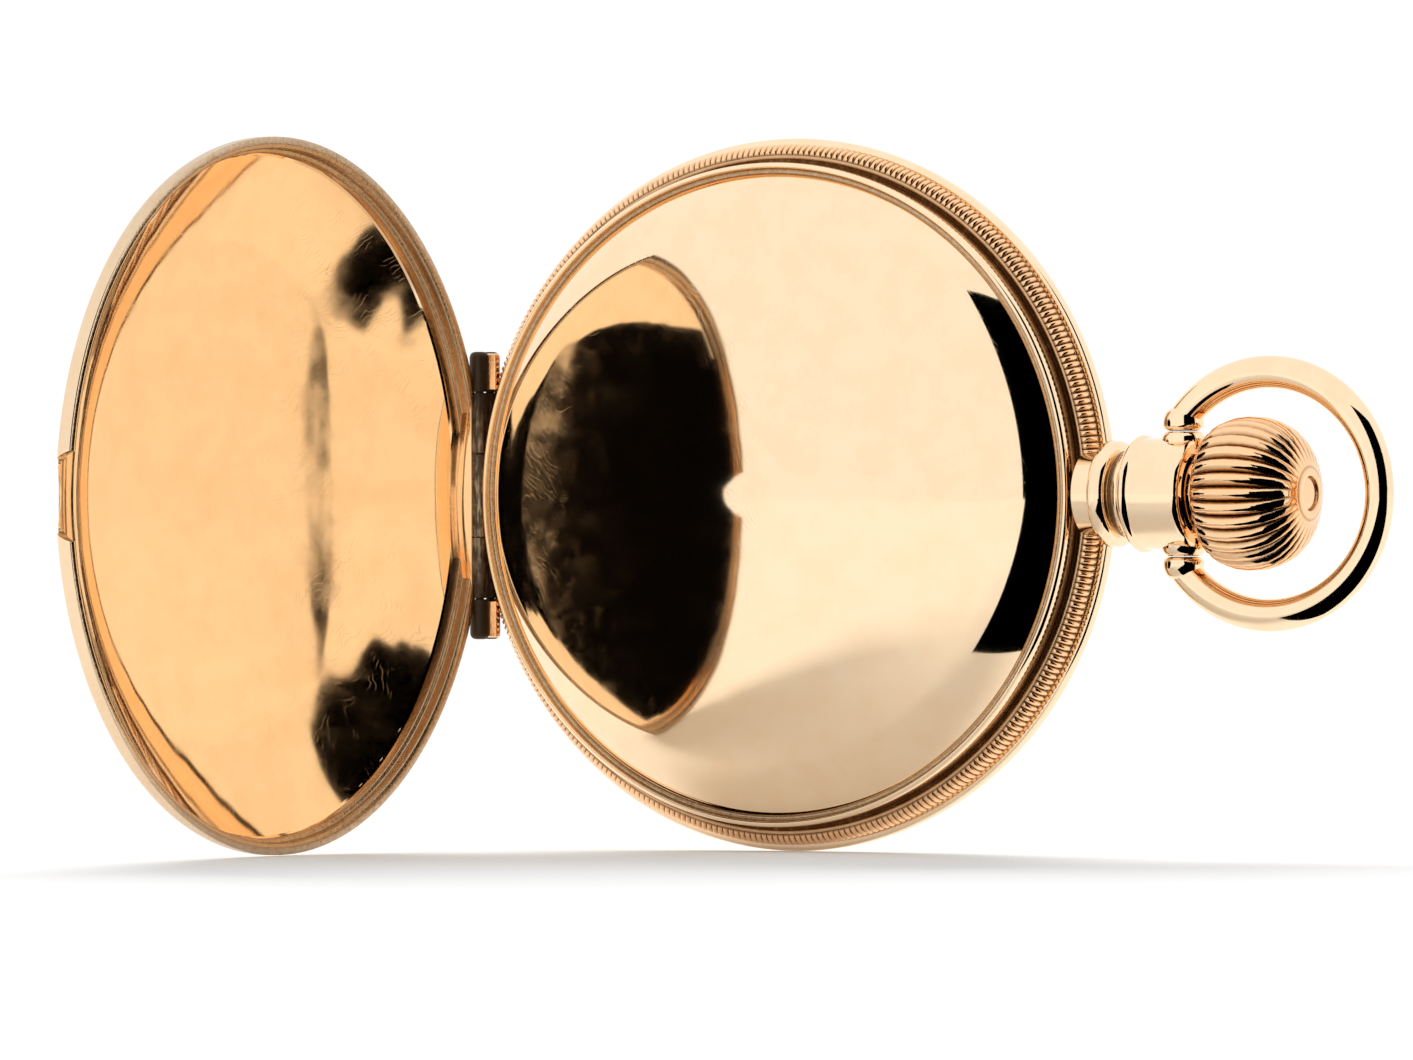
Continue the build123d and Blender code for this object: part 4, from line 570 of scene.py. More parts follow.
def engraving(finish, spot):
    """Cut lines outside a cover: a plain shield space, rays around it and a wavy vine border."""
    x, _, z = finish.parts(spot)
    z = z - CENTRE_Z
    radius = (x * x + z * z) ** 0.5
    angle = x.math("ARCTAN2", z, x)

    def stroke(distance, width):
        """1 on a line, fading to 0 at its width."""
        return 1 - distance.math("ABSOLUTE", distance).between(0.0, width)

    vine = stroke(radius - VINE_R - (angle * 16).sine() * 1.5, 0.36)
    second = stroke(radius - VINE_R + (angle * 16).sine() * 1.5, 0.32)
    leaves = ((angle * 48 + radius * 2.4).sine() * (radius * 3.1).sine()).between(0.55, 0.8)
    border = vine.math("MAXIMUM", vine, second)
    border = border.math("MAXIMUM", border, leaves * stroke(radius - VINE_R, 3.4))
    edge = stroke(radius - OUTER_RING_R, 0.16)
    rings = edge.math("MAXIMUM", edge, stroke(radius - INNER_RING_R, 0.16))
    inside = radius.between(FIELD_IN_R, FIELD_IN_R + 0.4) - radius.between(FIELD_OUT_R, FIELD_OUT_R + 0.4)
    rays = (angle * 96).sine().between(0.2, 0.9)
    weave = ((radius * 5.0 + (angle * 12).sine() * 2.2).sine()).between(0.3, 0.95)
    field = (rays * 0.45 + weave * 0.5) * inside
    shield = stroke(radius - SHIELD_R - (angle * 4).sine() * 0.35, 0.2)
    whole = border.math("MAXIMUM", border, rings)
    whole = whole.math("MAXIMUM", whole, field)
    return whole.math("MAXIMUM", whole, shield)


def tarnished_gold(settings):
    """Hinge metal: black-brown skin, worn back to gold along the middle, with small pits."""
    finish = Finish("hinge_tarnish", metallic=1.0)
    spot = finish.place()
    level = finish.parts(spot)[2] - CENTRE_Z
    away = level.math("ABSOLUTE", level)
    cloud = finish.noise(0.9, 5.0, spot, 0.7)
    worn = (1 - (away + cloud * 5.0 - 2.5).between(3.2, 9.0))
    streak = finish.noise(1.4, 4.0, spot, 0.7, stretch=(2.5, 2.5, 0.5)).between(0.42, 0.66)
    pits = finish.node("ShaderNodeTexVoronoi", {"feature": "F1"}, {"Vector": spot, "Scale": 1.1, "Randomness": 1.0})
    pit = (1 - pits.between(0.10, 0.2)) * finish.noise(0.6, 1.0, spot).between(0.45, 0.55)
    shine = (worn * (0.1 + streak * 0.6) * (1 - pit)).clamp()
    gold = tuple(channel * 0.55 for channel in settings.gold)
    finish.drive("Base Color", finish.mix(shine, tuple(settings.tarnish), gold))
    finish.drive("Roughness", 0.46 - shine * 0.26 + cloud * 0.1)
    normal = finish.bump(1 - pit, 0.06)
    finish.drive("Normal", finish.bump(finish.noise(3.5, 4.0, spot, 0.7), 0.02, 1.0, normal))
    return finish.material


def worn_gold(settings):
    """Gold of edges and seats that stay dirty: polish in streaks between brown smears of dirt and painted shade."""
    finish = Finish("worn_gold", metallic=1.0)
    spot = finish.place()
    dirt = finish.attribute("dirt")
    cloud = finish.noise(0.55, 6.0, spot, 0.72)
    fine = finish.noise(3.2, 4.0, spot, 0.7)
    # Grime colour in the band's gaps and seats: dirt and painted shade.
    soiled_and_shaded = (dirt * (0.4 + cloud * 0.75 + fine * 0.5)).clamp()
    finish.drive("Base Color", finish.mix(soiled_and_shaded, deeper(settings.gold, 0.82), tuple(settings.grime)))
    finish.drive("Roughness", 0.1 + soiled_and_shaded * 0.36 + cloud * 0.05)
    normal = finish.bump(fine, 0.018)
    finish.drive("Normal", finish.bump(finish.noise(0.8, 2.0, spot), 0.02, 1.0, normal))
    return finish.material


def damaskeened(settings):
    """Nickel plates with bright wavy damaskeen bands and fine graining."""
    finish = Finish("damaskeened_nickel", metallic=1.0)
    spot = finish.place()
    wave = finish.node("ShaderNodeTexWave", {"wave_type": "BANDS", "bands_direction": "X", "wave_profile": "SIN"}, {
        "Vector": spot, "Scale": 0.17, "Distortion": 1.6, "Detail": 0.0, "Detail Scale": 0.5})
    cross = finish.node("ShaderNodeTexWave", {"wave_type": "RINGS", "rings_direction": "Y"}, {
        "Vector": spot, "Scale": 1.4, "Distortion": 0.0})
    grain = finish.noise(9.0, 3.0, spot, 0.7)
    plate = tuple(settings.plate)
    bright = tuple(min(1.0, channel * 1.32) for channel in plate)
    finish.drive("Base Color", finish.mix((wave * 0.75 + cross * 0.25).between(0.3, 0.7), plate, bright))
    finish.drive("Roughness", 0.2 + wave * 0.14 + grain * 0.06)
    finish.drive("Normal", finish.bump(wave + cross * 0.2 + grain * 0.1, 0.012))
    return finish.material


def turned_metal(name, colour, roughness=0.22, rings=4.0, wear=0.05):
    """Machined metal with fine marks and a few smears."""
    finish = Finish(name, metallic=1.0)
    spot = finish.place()
    marks = finish.noise(rings, 3.0, spot, 0.6, stretch=(1.0, 6.0, 1.0))
    smear = finish.noise(0.6, 3.0, spot)
    dull = tuple(channel * 0.8 for channel in colour)
    finish.drive("Base Color", finish.mix(smear.between(0.35, 0.7), colour, dull))
    finish.drive("Roughness", roughness + marks * wear + smear * wear)
    finish.drive("Normal", finish.bump(marks, 0.004))
    return finish.material


def enamel(settings):
    """Fired white enamel with a faint orange-peel skin."""
    finish = Finish("white_enamel", roughness=0.08, coat_weight=0.6, coat_roughness=0.03)
    spot = finish.place()
    tone = finish.noise(0.15, 3.0, spot)
    white = tuple(settings.enamel)
    warm = (white[0] * 0.985, white[1] * 0.97, white[2] * 0.93)
    finish.drive("Base Color", finish.mix(tone.between(0.4, 0.65), white, warm))
    finish.drive("Normal", finish.bump(finish.noise(0.9, 2.0, spot), 0.01))
    return finish.material


def ink():
    """Black fired enamel of the numbers."""
    finish = Finish("black_enamel", roughness=0.25)
    tone = finish.noise(3.0, 2.0)
    finish.drive("Base Color", finish.mix(tone, (0.012, 0.012, 0.014), (0.03, 0.03, 0.034)))
    return finish.material


def clear_glass():
    """Watch glass with a few fine scratches."""
    finish = Finish("watch_glass", roughness=0.0, transmission=1.0, ior=1.5)
    scratch = finish.noise(1.2, 4.0, None, 0.75, stretch=(1.0, 1.0, 7.0)).between(0.62, 0.8)
    finish.drive("Normal", finish.bump(scratch, 0.002))
    return finish.material


def ruby():
    """Jewel: deep pink, glassy."""
    finish = Finish("jewel", roughness=0.06, coat_weight=0.5, ior=1.76)
    cloud = finish.noise(2.0, 2.0)
    finish.drive("Base Color", finish.mix(cloud, (0.42, 0.015, 0.06), (0.62, 0.04, 0.12)))
    return finish.material


# ------------------------------------------------------------------ case pieces
def trim_for_hinge(point, edge_x):
    """Flat cut that a turned part has beside the hinge."""
    if point.x < edge_x * MM:
        point.x = edge_x * MM
    return point


def cover_warp(edge_x):
    """Warp of a cover's points: the flat beside the hinge."""
    def warp(point, r, h, angle):
        level = point.z / MM - CENTRE_Z
        if point.x < 0 and abs(level) < LEAF_HALF + 1.2:
            point = trim_for_hinge(point, edge_x)
        return point
    return warp


def cut_for_pendant(shell):
    """Cut the crescent that a cover leaves free around the pendant."""
    cutter = lathe("pendant_cutter", [(0, 20), (NECK_CLEARANCE, 20), (NECK_CLEARANCE, 32), (0, 32)], None, 96,
                   pendant_point)
    modifier = shell.modifiers.new("pendant_cut", "BOOLEAN")
    modifier.operation, modifier.object, modifier.solver = "DIFFERENCE", cutter, "MANIFOLD"
    held = bpy.context.evaluated_depsgraph_get()
    cut = bpy.data.meshes.new_from_object(shell.evaluated_get(held))
    shell.modifiers.remove(modifier)
    shell.data = cut
    bpy.data.objects.remove(cutter)
    cut.set_sharp_from_angle(angle=math.radians(35))


def knuckle_run(name, hinge_h, low, high, material, radius=KNUCKLE_R, end=0.18):
    """Hinge tube between two levels with rounded ends."""
    outline = rounded([(0, low), (radius, low, end), (radius, high, end), (0, high)], 6)
    return lathe(name, outline, material, 48, level_point(hinge_h))


def leaf(name, hinge_h, towards, material):
    """Flat strip with rounded edges that joins a cover to its hinge."""
    x0, x1 = HINGE_X + 0.62, HINGE_X + 1.08
    low, high = sorted((hinge_h + towards * 0.05, hinge_h + towards * 2.6))
    return bar(name, (x0, low, CENTRE_Z - LEAF_HALF + 0.05), (x1, high, CENTRE_Z + LEAF_HALF - 0.05), material, 0.1)


class WATCH_OT_back_cover(bpy.types.Operator):
    """Build the back cover, standing open on the rear hinge"""

    bl_idname = "watch.back_cover"
    bl_label = "Back cover"

    def execute(self, context):
        settings = context.scene.watch_case
        gold, carved = polished_gold(settings, "cover_gold"), polished_gold(settings, "engraved_gold", engraved=True)
        bowl = polished_gold(settings, "bowl_gold", wear=1.3, dents=0.17)
        tarnish = tarnished_gold(settings)
        outside = dome(BACK_APEX, -1, BACK_REACH, (BACK_R - 0.5, REAR_H - 1.4))
        inside = dome(BACK_APEX + COVER_WALL, -1, BACK_REACH, (BACK_R - 1.3, REAR_H - 2.0))
        rim = rounded([
            (BACK_R - 0.5, REAR_H - 1.4), (BACK_R - 0.12, REAR_H - 1.28, 0.12), (BACK_R, REAR_H - 0.9, 0.12),
            (BACK_R, REAR_H, 0.16), (BACK_R - 0.62, REAR_H, 0.1), (BACK_R - 0.95, REAR_H - 0.18, 0.1),
            (BACK_R - 0.95, REAR_H - 1.0, 0.1), (BACK_R - 1.3, REAR_H - 1.15, 0.1), (BACK_R - 1.3, REAR_H - 2.0)])
        outline = outside[:-1] + rim + inside[::-1][1:]

        # Dirt and painted shade on the rim, darkest next to the hinge and toward the top and bottom.
        def dirt(number, angle, r, h):
            if r > BACK_R - 1.35 and h > REAR_H - 1.45:
                near_hinge = 0.5 - 0.5 * math.cos(angle)
                lift = 0.5 * abs(math.sin(angle)) ** 3
                return 0.12 + 0.4 * near_hinge ** 2 + lift * 0.6
            return 0.0

        shell = lathe("back_cover_shell", outline, bowl, FINE, warp=cover_warp(HINGE_X + 0.62), dirt=dirt)
        shell.data.materials.append(carved)
        for polygon in shell.data.polygons[:(len(outside) - 1) * FINE]:
            polygon.material_index = 1
        cut_for_pendant(shell)
        parts = [shell, leaf("back_cover_leaf", REAR_H, -1, gold)]
        for side in (-1, 1):
            low, high = sorted((side * (MIDDLE_HALF + 0.05), side * (LEAF_HALF - 0.05)))
            parts.append(knuckle_run(f"back_cover_knuckle_{side + 1}", REAR_H, low, high, tarnish, end=0.06))
        swing = Matrix.Translation(REAR_HINGE) @ Matrix.Rotation(OPEN_ANGLE, 4, "Z") @ Matrix.Translation(-REAR_HINGE)
        for part in parts:
            part.matrix_world = swing @ part.matrix_world
            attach(part, "back_cover")
        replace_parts(shell, "back_cover")
        return {"FINISHED"}


class WATCH_OT_front_cover(bpy.types.Operator):
    """Build the closed front cover"""

    bl_idname = "watch.front_cover"
    bl_label = "Front cover"

    def execute(self, context):
        gold, carved = bpy.data.materials["cover_gold"], bpy.data.materials["engraved_gold"]
        apex = LIP_HIGH.y
        outside = dome(apex, 1, FRONT_REACH, (LIP_R - 0.6, FRONT_H + 1.7))
        inside = dome(apex - COVER_WALL, 1, FRONT_REACH, (LIP_R - 1.6, FRONT_H + 2.35))
        rim = rounded([
            (LIP_R - 0.6, FRONT_H + 1.7), (LIP_R - 0.62, FRONT_H + 1.5, 0.08), (LIP_R - 0.1, FRONT_H + 1.3, 0.3),
            (LIP_R, FRONT_H + 0.7, 0.3), (LIP_R - 0.05, FRONT_H, 0.25), (LIP_R - 1.5, FRONT_H, 0.1),
            (LIP_R - 1.5, FRONT_H + 1.2, 0.1), (LIP_R - 1.6, FRONT_H + 2.35)])
        shell = lathe("front_cover_shell", outside[:-1] + rim + inside[::-1][1:], gold, FINE,
                      warp=cover_warp(HINGE_X + 0.62))
        shell.data.materials.append(carved)
        for polygon in shell.data.polygons[:(len(outside) - 1) * FINE]:
            polygon.material_index = 1
        cut_for_pendant(shell)
        strip = leaf("front_cover_leaf", FRONT_H, 1, gold)
        tarnish = bpy.data.materials["hinge_tarnish"]
        tube_piece = knuckle_run("front_cover_knuckle", FRONT_H, 0.05 - LEAF_HALF, LEAF_HALF - 0.05, tarnish, end=0.06)
        for part in (shell, strip, tube_piece):
            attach(part, "front_cover")
        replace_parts(shell, "front_cover")
        return {"FINISHED"}


class WATCH_OT_cuvette(bpy.types.Operator):
    """Build the mirror-bright inner cover"""

    bl_idname = "watch.cuvette"
    bl_label = "Inner cover"

    def execute(self, context):
        settings = context.scene.watch_case
        gold = polished_gold(settings, "mirror_gold", wear=0.6, crowned=True)
        apex, edge = CUVETTE_LOW.y, CUVETTE_R
        outside = dome(apex, -1, CUVETTE_REACH, (edge - 1.0, -3.2))
        inside = dome(apex + CUVETTE_WALL, -1, CUVETTE_REACH, (edge - 1.1, -2.5))
        groove = []
        for step in range(1, 13):
            a = math.pi * step / 12
            groove.append((edge - 0.75 - 0.25 * math.cos(a), -3.2 + 0.28 * math.sin(a)))
        bead = rounded([
            (edge - 0.5, -3.2), (edge - 0.42, -3.45, 0.12), (edge - 0.1, -3.38, 0.2), (edge, -3.0, 0.2),
            (edge, REAR_H - 0.1, 0.05), (edge - 1.1, REAR_H - 0.1, 0.05), (edge - 1.1, -2.5)])

        def dirt(number, angle, r, h):
            if r > edge - 0.95 and r < edge - 0.52 and h > -3.19:
                return 0.55
            return 0.8 if r > edge - 0.2 and h > -2.4 else 0.0

        shell = lathe("cuvette_shell", outside + groove[:-1] + bead + inside[::-1][1:], gold,
                      FINE, dirt=dirt)
        tab = bar("cuvette_tab", (HINGE_X, REAR_H + 0.05, CENTRE_Z - MIDDLE_HALF + 0.05),
                  (HINGE_X + 1.9, REAR_H + 0.7, CENTRE_Z + MIDDLE_HALF - 0.05), gold)
        tarnish = bpy.data.materials["hinge_tarnish"]
        middle = knuckle_run("cuvette_knuckle", REAR_H, 0.05 - MIDDLE_HALF, MIDDLE_HALF - 0.05, tarnish, end=0.06)
        for part in (shell, tab, middle):
            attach(part, "cuvette")
        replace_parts(shell, "cuvette")
        return {"FINISHED"}


class WATCH_OT_band(bpy.types.Operator):
    """Build the case centre with its reeded coin edge and hinge ends"""

    bl_idname = "watch.band"
    bl_label = "Case centre"

    def execute(self, context):
        settings = context.scene.watch_case
        gold, tarnish = worn_gold(settings), bpy.data.materials["hinge_tarnish"]
        reed_in, neck, bore = REED_R - 0.8, REED_R - 1.7, BAND_BORE_R
        relief = settings.reed_height / MM
        # radius, height, how much a reed lifts the point, dirt and painted shade in the gap between reeds
        rows = [(bore, BAND_HIGH.y, 0, 0), (bore, -1.9, 0, 0), (25.4, -1.9, 0, 0.6), (25.4, REAR_H, 0, 1.0),
                (reed_in - 0.5, REAR_H, 0, 1.0), (reed_in - 0.32, REAR_H, 0, 0.9),
                (reed_in - 0.28, REAR_H - 0.04, 0, 0.5), (reed_in - 0.06, REAR_H - 0.04, 0, 0.35),
                (reed_in, REAR_H + 0.02, 0.0, 0.9)]
        bevel = 10
        for step in range(1, bevel + 1):
            t = step / bevel
            swell = math.sin(math.pi * min(1.0, max(0.0, t))) ** 0.5 if t < 1 else 0.0
            rows.append((reed_in + 0.8 * math.sin(t * math.pi / 2),
                         REAR_H + 0.05 + 1.3 * (1 - math.cos(t * math.pi / 2)),
                         max(swell, 0.75 if t < 1 else 0.6), 1.0))
        rows += [(REED_R, FRONT_H - 0.45, 0.6, 1.0), (REED_R - 0.02, FRONT_H - 0.3, 0.2, 1.0),
                 (REED_R - 0.35, FRONT_H - 0.08, 0, 1.0), (neck, FRONT_H - 0.05, 0, 0.8), (neck, BAND_HIGH.y, 0, 0.2)]
        per_reed = 10
        segments = settings.reeds * per_reed
        vertices, levels = [], []
        for r, h, lift, dirt in rows:
            for step in range(segments):
                phase = (step % per_reed) / per_reed
                crest = math.sin(math.pi * phase) ** 0.6
                out = relief * lift * (crest - 0.5) * 2
                angle = 2 * math.pi * step / segments
                point = face_point(r + out, h - out * 0.45, angle)
                vertices.append(trim_for_hinge(point, HINGE_X + 1.0))
                # Gaps between reeds get dirt and painted shade; the crests stay mostly clean.
                wear = 0.5 + 0.5 * math.sin(3 * angle + 0.8) * math.sin(7 * angle)
                levels.append(dirt * (1.0 - crest ** 0.7 * (0.95 + 0.25 * wear)) if lift else dirt)
        band = ribbed("case_band", vertices, levels, len(rows), gold, 50.0)
        parts = [band]
        for hinge_h, word in ((REAR_H, "rear"), (FRONT_H, "front")):
            for side in (-1, 1):
                low, high = sorted((side * (LEAF_HALF + 0.05), side * HINGE_HALF))
                outer = 0.55
                ends = [(0, low), (KNUCKLE_R, low, outer if side < 0 else 0.06),
                        (KNUCKLE_R, high, outer if side > 0 else 0.06), (0, high)]
                parts.append(lathe(f"{word}_knuckle_{side + 1}", rounded(ends, 8), tarnish, 48, level_point(hinge_h)))
        for side in (-1, 1):
            middle = CENTRE_Z + side * (HINGE_HALF + LEAF_HALF) / 2
            parts.append(bar(f"hinge_tab_{side + 1}", (HINGE_X + 0.2, REAR_H + 0.06, middle - 1.5),
                             (HINGE_X + 1.5, REAR_H + 0.7, middle + 1.5), gold, 0.15))
        for part in parts:
            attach(part, "case")
        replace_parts(band, "case_center")
        for node in ("rear_hinge_pin", "front_hinge_pin"):
            frame["nodes"][node].data.materials.clear()
            frame["nodes"][node].data.materials.append(tarnish)
        return {"FINISHED"}


class WATCH_OT_pendant(bpy.types.Operator):
    """Build the pendant: collar, cove, sleeve and the bosses that hold the bow"""

    bl_idname = "watch.pendant"
    bl_label = "Pendant"

    def execute(self, context):
        gold = bpy.data.materials["cover_gold"]
        start = LIP_R + 0.15
        end = SLEEVE_END_X
        outline = rounded([
            (2.2, REED_R - 0.8), (3.4, REED_R - 0.8), (3.4, start - 0.1, 0.1), (3.75, start, 0.2),
            (4.2, start + 0.25, 0.3), (4.3, start + 0.85, 0.45), (4.0, start + 1.5, 0.35),
            (3.35, start + 1.68, 0.12), (3.05, start + 1.9, 0.18),
            (3.2, start + 2.15, 0.1), (3.7, start + 2.25, 0.1), (3.78, start + 2.55, 0.12), (3.6, start + 2.82, 0.1),
            (3.25, start + 2.86, 0.05), (3.25, start + 3.0, 0.05), (4.1, start + 3.0, 0.15), (4.62, start + 3.15, 0.2),
            (4.68, start + 3.5, 0.2), (4.45, start + 3.78, 0.1), (4.42, start + 3.9, 0.1), (4.45, end - 0.35, 0.2),
            (4.2, end, 0.2), (3.45, end, 0.1), (3.45, end - 1.2), (2.2, end - 1.2)], 8)

        def dirt(number, angle, r, h):
            return 0.75 if start + 1.66 < h < start + 3.05 and r < 3.5 else 0.0

        body = lathe("pendant_body", outline, gold, 256, pendant_point, closed=True, dirt=dirt)
        parts = [body]
        for side in (-1, 1):
            def place(r, level, angle, side=side):
                return Vector((BOW_PIVOT_X + r * math.cos(angle), PENDANT_H + r * math.sin(angle),
                               CENTRE_Z + side * level)) * MM
            boss = rounded([(0, 3.5), (1.84, 3.5), (1.8, 4.2, 0.3), (1.62, 4.75, 0.25), (1.4, 4.92, 0.1), (0, 4.92)], 6)
            parts.append(lathe(f"pendant_boss_{side + 1}", boss, gold, 96, place))
        for part in parts:
            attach(part, "case")
        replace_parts(body, "pendant")
        return {"FINISHED"}


class WATCH_OT_bow(bpy.types.Operator):
    """Build the bow that swings on the pendant"""

    bl_idname = "watch.bow"
    bl_label = "Bow"

    def execute(self, context):
        gold = bpy.data.materials["cover_gold"]
        right = BOW_HIGH.x - BOW_WIRE_R
        radius = (BOW_HIGH.z - BOW_LOW.z) / 2 - BOW_WIRE_R
        middle = right - radius
        ear_angle = math.acos((middle - BOW_PIVOT_X) / radius)
        path, radii = [], []
        steps = 140
        for step in range(steps + 1):
            a = -math.pi + ear_angle + (2 * math.pi - 2 * ear_angle) * step / steps
            path.append(Vector((middle + radius * math.cos(a), PENDANT_H, CENTRE_Z + radius * math.sin(a))) * MM)
            top = abs(math.sin(a))
            radii.append(((1.12 + 0.18 * top) * MM, (1.2 + 0.1 * top) * MM))
        ring = tube("bow_ring", path, radii, gold, 64)
        parts = [ring]
        level = radius * math.sin(ear_angle)
        for side in (-1, 1):
            def place(r, height, angle, side=side):
                return Vector((BOW_PIVOT_X + r * math.cos(angle), PENDANT_H + r * math.sin(angle),
                               CENTRE_Z + side * height)) * MM
            ear = rounded([(0, 4.98), (1.3, 4.98, 0.15), (1.62, 5.25, 0.2), (1.66, level - 0.1, 0.4),
                           (1.3, level + 0.75, 0.4), (0, level + 1.15)], 8)
            parts.append(lathe(f"bow_ear_{side + 1}", ear, gold, 96, place))
        for part in parts:
            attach(part, "bow")
        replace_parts(ring, "bow")
        return {"FINISHED"}


class WATCH_OT_crown(bpy.types.Operator):
    """Build the melon-shaped crown with its flutes and end button"""

    bl_idname = "watch.crown"
    bl_label = "Crown"

    def execute(self, context):
        settings = context.scene.watch_case
        gold = polished_gold(settings, "crown_gold", wear=1.6, tone=0.84)
        base, tip = SLEEVE_END_X, CROWN_HIGH.x
        depth = settings.flute_depth / MM
        # radius, distance from the middle, share of the flutes' depth
        rows = [(0.6, base - 0.35, 0), (3.15, base - 0.35, 0), (3.2, base + 1.15, 0), (4.2, base + 1.2, 0)]
        swell = [(4.45, 1.22, 0.1), (4.9, 1.4, 0.6), (5.35, 1.85, 0.9), (5.75, 2.55, 1.0), (6.02, 3.5, 1.0),
                 (6.12, 4.6, 1.0), (6.02, 5.7, 1.0), (5.72, 6.75, 1.0), (5.2, 7.7, 0.95), (4.5, 8.45, 0.85),
                 (3.7, 9.0, 0.7), (3.0, 9.32, 0.45), (2.45, 9.5, 0.15), (2.3, 9.56, 0.0)]
        fine = []
        for (a, b) in zip(swell, swell[1:]):
            for step in range(3):
                t = step / 3
                fine.append(tuple(a[k] + (b[k] - a[k]) * t for k in range(3)))
        fine.append(swell[-1])
        rows += [(r, base + x, share) for r, x, share in fine]
        rows += [(2.1, tip - 0.12, 0), (1.95, tip, 0), (1.45, tip, 0), (1.35, tip - 0.1, 0), (1.35, tip - 0.5, 0),
                 (0.6, tip - 0.5, 0)]
        per_flute = 16
        segments = settings.flutes * per_flute
        vertices, levels = [], []
        for r, x, share in rows:
            for step in range(segments):
                phase = (step % per_flute) / per_flute
                ridge = abs(math.sin(math.pi * phase)) ** 0.75
                angle = 2 * math.pi * step / segments
                cut = depth * share * (r / 6.1) * (1 - ridge)
                vertices.append(pendant_point(r - cut, x, angle))
                # Dirt and painted shade in the flute valleys and in the hollows round the button and at the base.
                hollow = 0.5 if r < 2.2 and x < tip - 0.05 else 0.0
                levels.append(max(0.0, share * 1.1 * (1 - ridge * 1.3)) + hollow)
        crown = ribbed("crown_body", vertices, levels, len(rows), gold, 55.0)
        button = lathe("crown_button", rounded([
            (0, tip - 0.5), (1.33, tip - 0.5), (1.33, tip - 0.28, 0.08), (1.1, tip - 0.2, 0.1), (0, tip - 0.2)], 5),
            gold, 96, pendant_point)
        for part in (crown, button):
            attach(part, "crown")
        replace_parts(crown, "crown")
        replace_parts(button, "crown_cap")
        return {"FINISHED"}


class WATCH_OT_bezel(bpy.types.Operator):
    """Build the bezel and its glass"""

    bl_idname = "watch.bezel"
    bl_label = "Bezel and glass"

    def execute(self, context):
        gold = bpy.data.materials["cover_gold"]
        outer, low, top = BEZEL_HIGH.x, BEZEL_LOW.y, BEZEL_HIGH.y
        glass_r = CRYSTAL_HIGH.x
        ring = lathe("bezel_ring", rounded([
            (glass_r - 1.2, low + 0.5), (glass_r - 0.6, low, 0.05), (outer, low, 0.05), (outer, low + 0.15, 0.05),
            (outer - 0.9, low + 0.75, 0.4), (glass_r + 0.9, top, 0.3), (glass_r + 0.05, top, 0.1),
            (glass_r + 0.05, low + 0.7), (glass_r - 1.2, low + 0.7, 0.03), (glass_r - 1.2, low + 0.5)], 5),
            gold, 360, closed=True)
        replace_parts(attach(ring, "case"), "bezel")
        apex = CRYSTAL_HIGH.y
        steps = 24
        outer_skin = [(glass_r * k / steps, apex - sag(glass_r * k / steps)) for k in range(steps + 1)]
        inner_r = glass_r - 1.0
        inner_skin = [(inner_r * k / steps, apex - 0.6 - sag(inner_r * k / steps)) for k in range(steps + 1)]
        glass = lathe("crystal_glass", outer_skin + [(glass_r, 3.1), (inner_r, 3.1)] + inner_skin[::-1],
                      clear_glass(), 240)
        glass.visible_shadow = glass.visible_diffuse = False
        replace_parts(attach(glass, "case"), "crystal")
        return {"FINISHED"}


# ------------------------------------------------------------------ dial
ROMAN = ("XII", "I", "II", "III", "IIII", "V", "VI", "VII", "VIII", "IX", "X", "XI")


def mark(length, width, r, angle, h, at=(0.0, 0.0)):
    """Corners of one stroke of a track; the angle runs clockwise from 12 o'clock."""
    along = Vector((math.sin(angle), math.cos(angle)))
    across = Vector((along.y, -along.x))
    spots = []
    for a, b in ((0, -0.5), (0, 0.5), (1, 0.5), (1, -0.5)):
        spot = along * (r + a * length) + across * (b * width)
        spots.append(Vector((at[0] + spot.x, h, CENTRE_Z - at[1] - spot.y)) * MM)
    return spots


def strokes(name, runs, material):
    """Flat marks as one mesh with a little thickness."""
    vertices, faces = [], []
    for corners in runs:
        base = len(vertices)
        vertices += corners
        vertices += [corner + Vector((0, 0.02 * MM, 0)) for corner in corners]
        faces += [(base + 4, base + 5, base + 6, base + 7), (base, base + 3, base + 2, base + 1)]
        faces += [(base + k, base + (k + 1) % 4, base + 4 + (k + 1) % 4, base + 4 + k) for k in range(4)]
    made = new_object(name, vertices, faces, material)
    outward(made)
    return made


def numeral(word, size, r, angle, h, material, at=(0.0, 0.0), squeeze=1.0):
    """Number standing toward the middle of the dial, as a mesh."""
    curve = bpy.data.curves.new("number", "FONT")
    curve.body = word
    curve.size = size * MM
    curve.align_x = "CENTER"
    curve.align_y = "CENTER"
    curve.extrude = 0.01 * MM
    text = bpy.data.objects.new("number", curve)
    mesh = bpy.data.meshes.new_from_object(text)
    bpy.data.objects.remove(text)
    mesh.materials.clear()
    mesh.materials.append(material)
    made = bpy.data.objects.new("number", mesh)
    bpy.context.scene.collection.objects.link(made)
    spot = Vector((at[0] + r * math.sin(angle), h, CENTRE_Z - at[1] - r * math.cos(angle))) * MM
    upright = Matrix(((1, 0, 0), (0, 0, 1), (0, -1, 0))).to_4x4()
    turn = Matrix.Rotation(-angle, 4, "Z")
    mesh.transform(Matrix.Translation(spot) @ upright @ turn @ Matrix.Diagonal((squeeze, 1, 1, 1)))
    return made


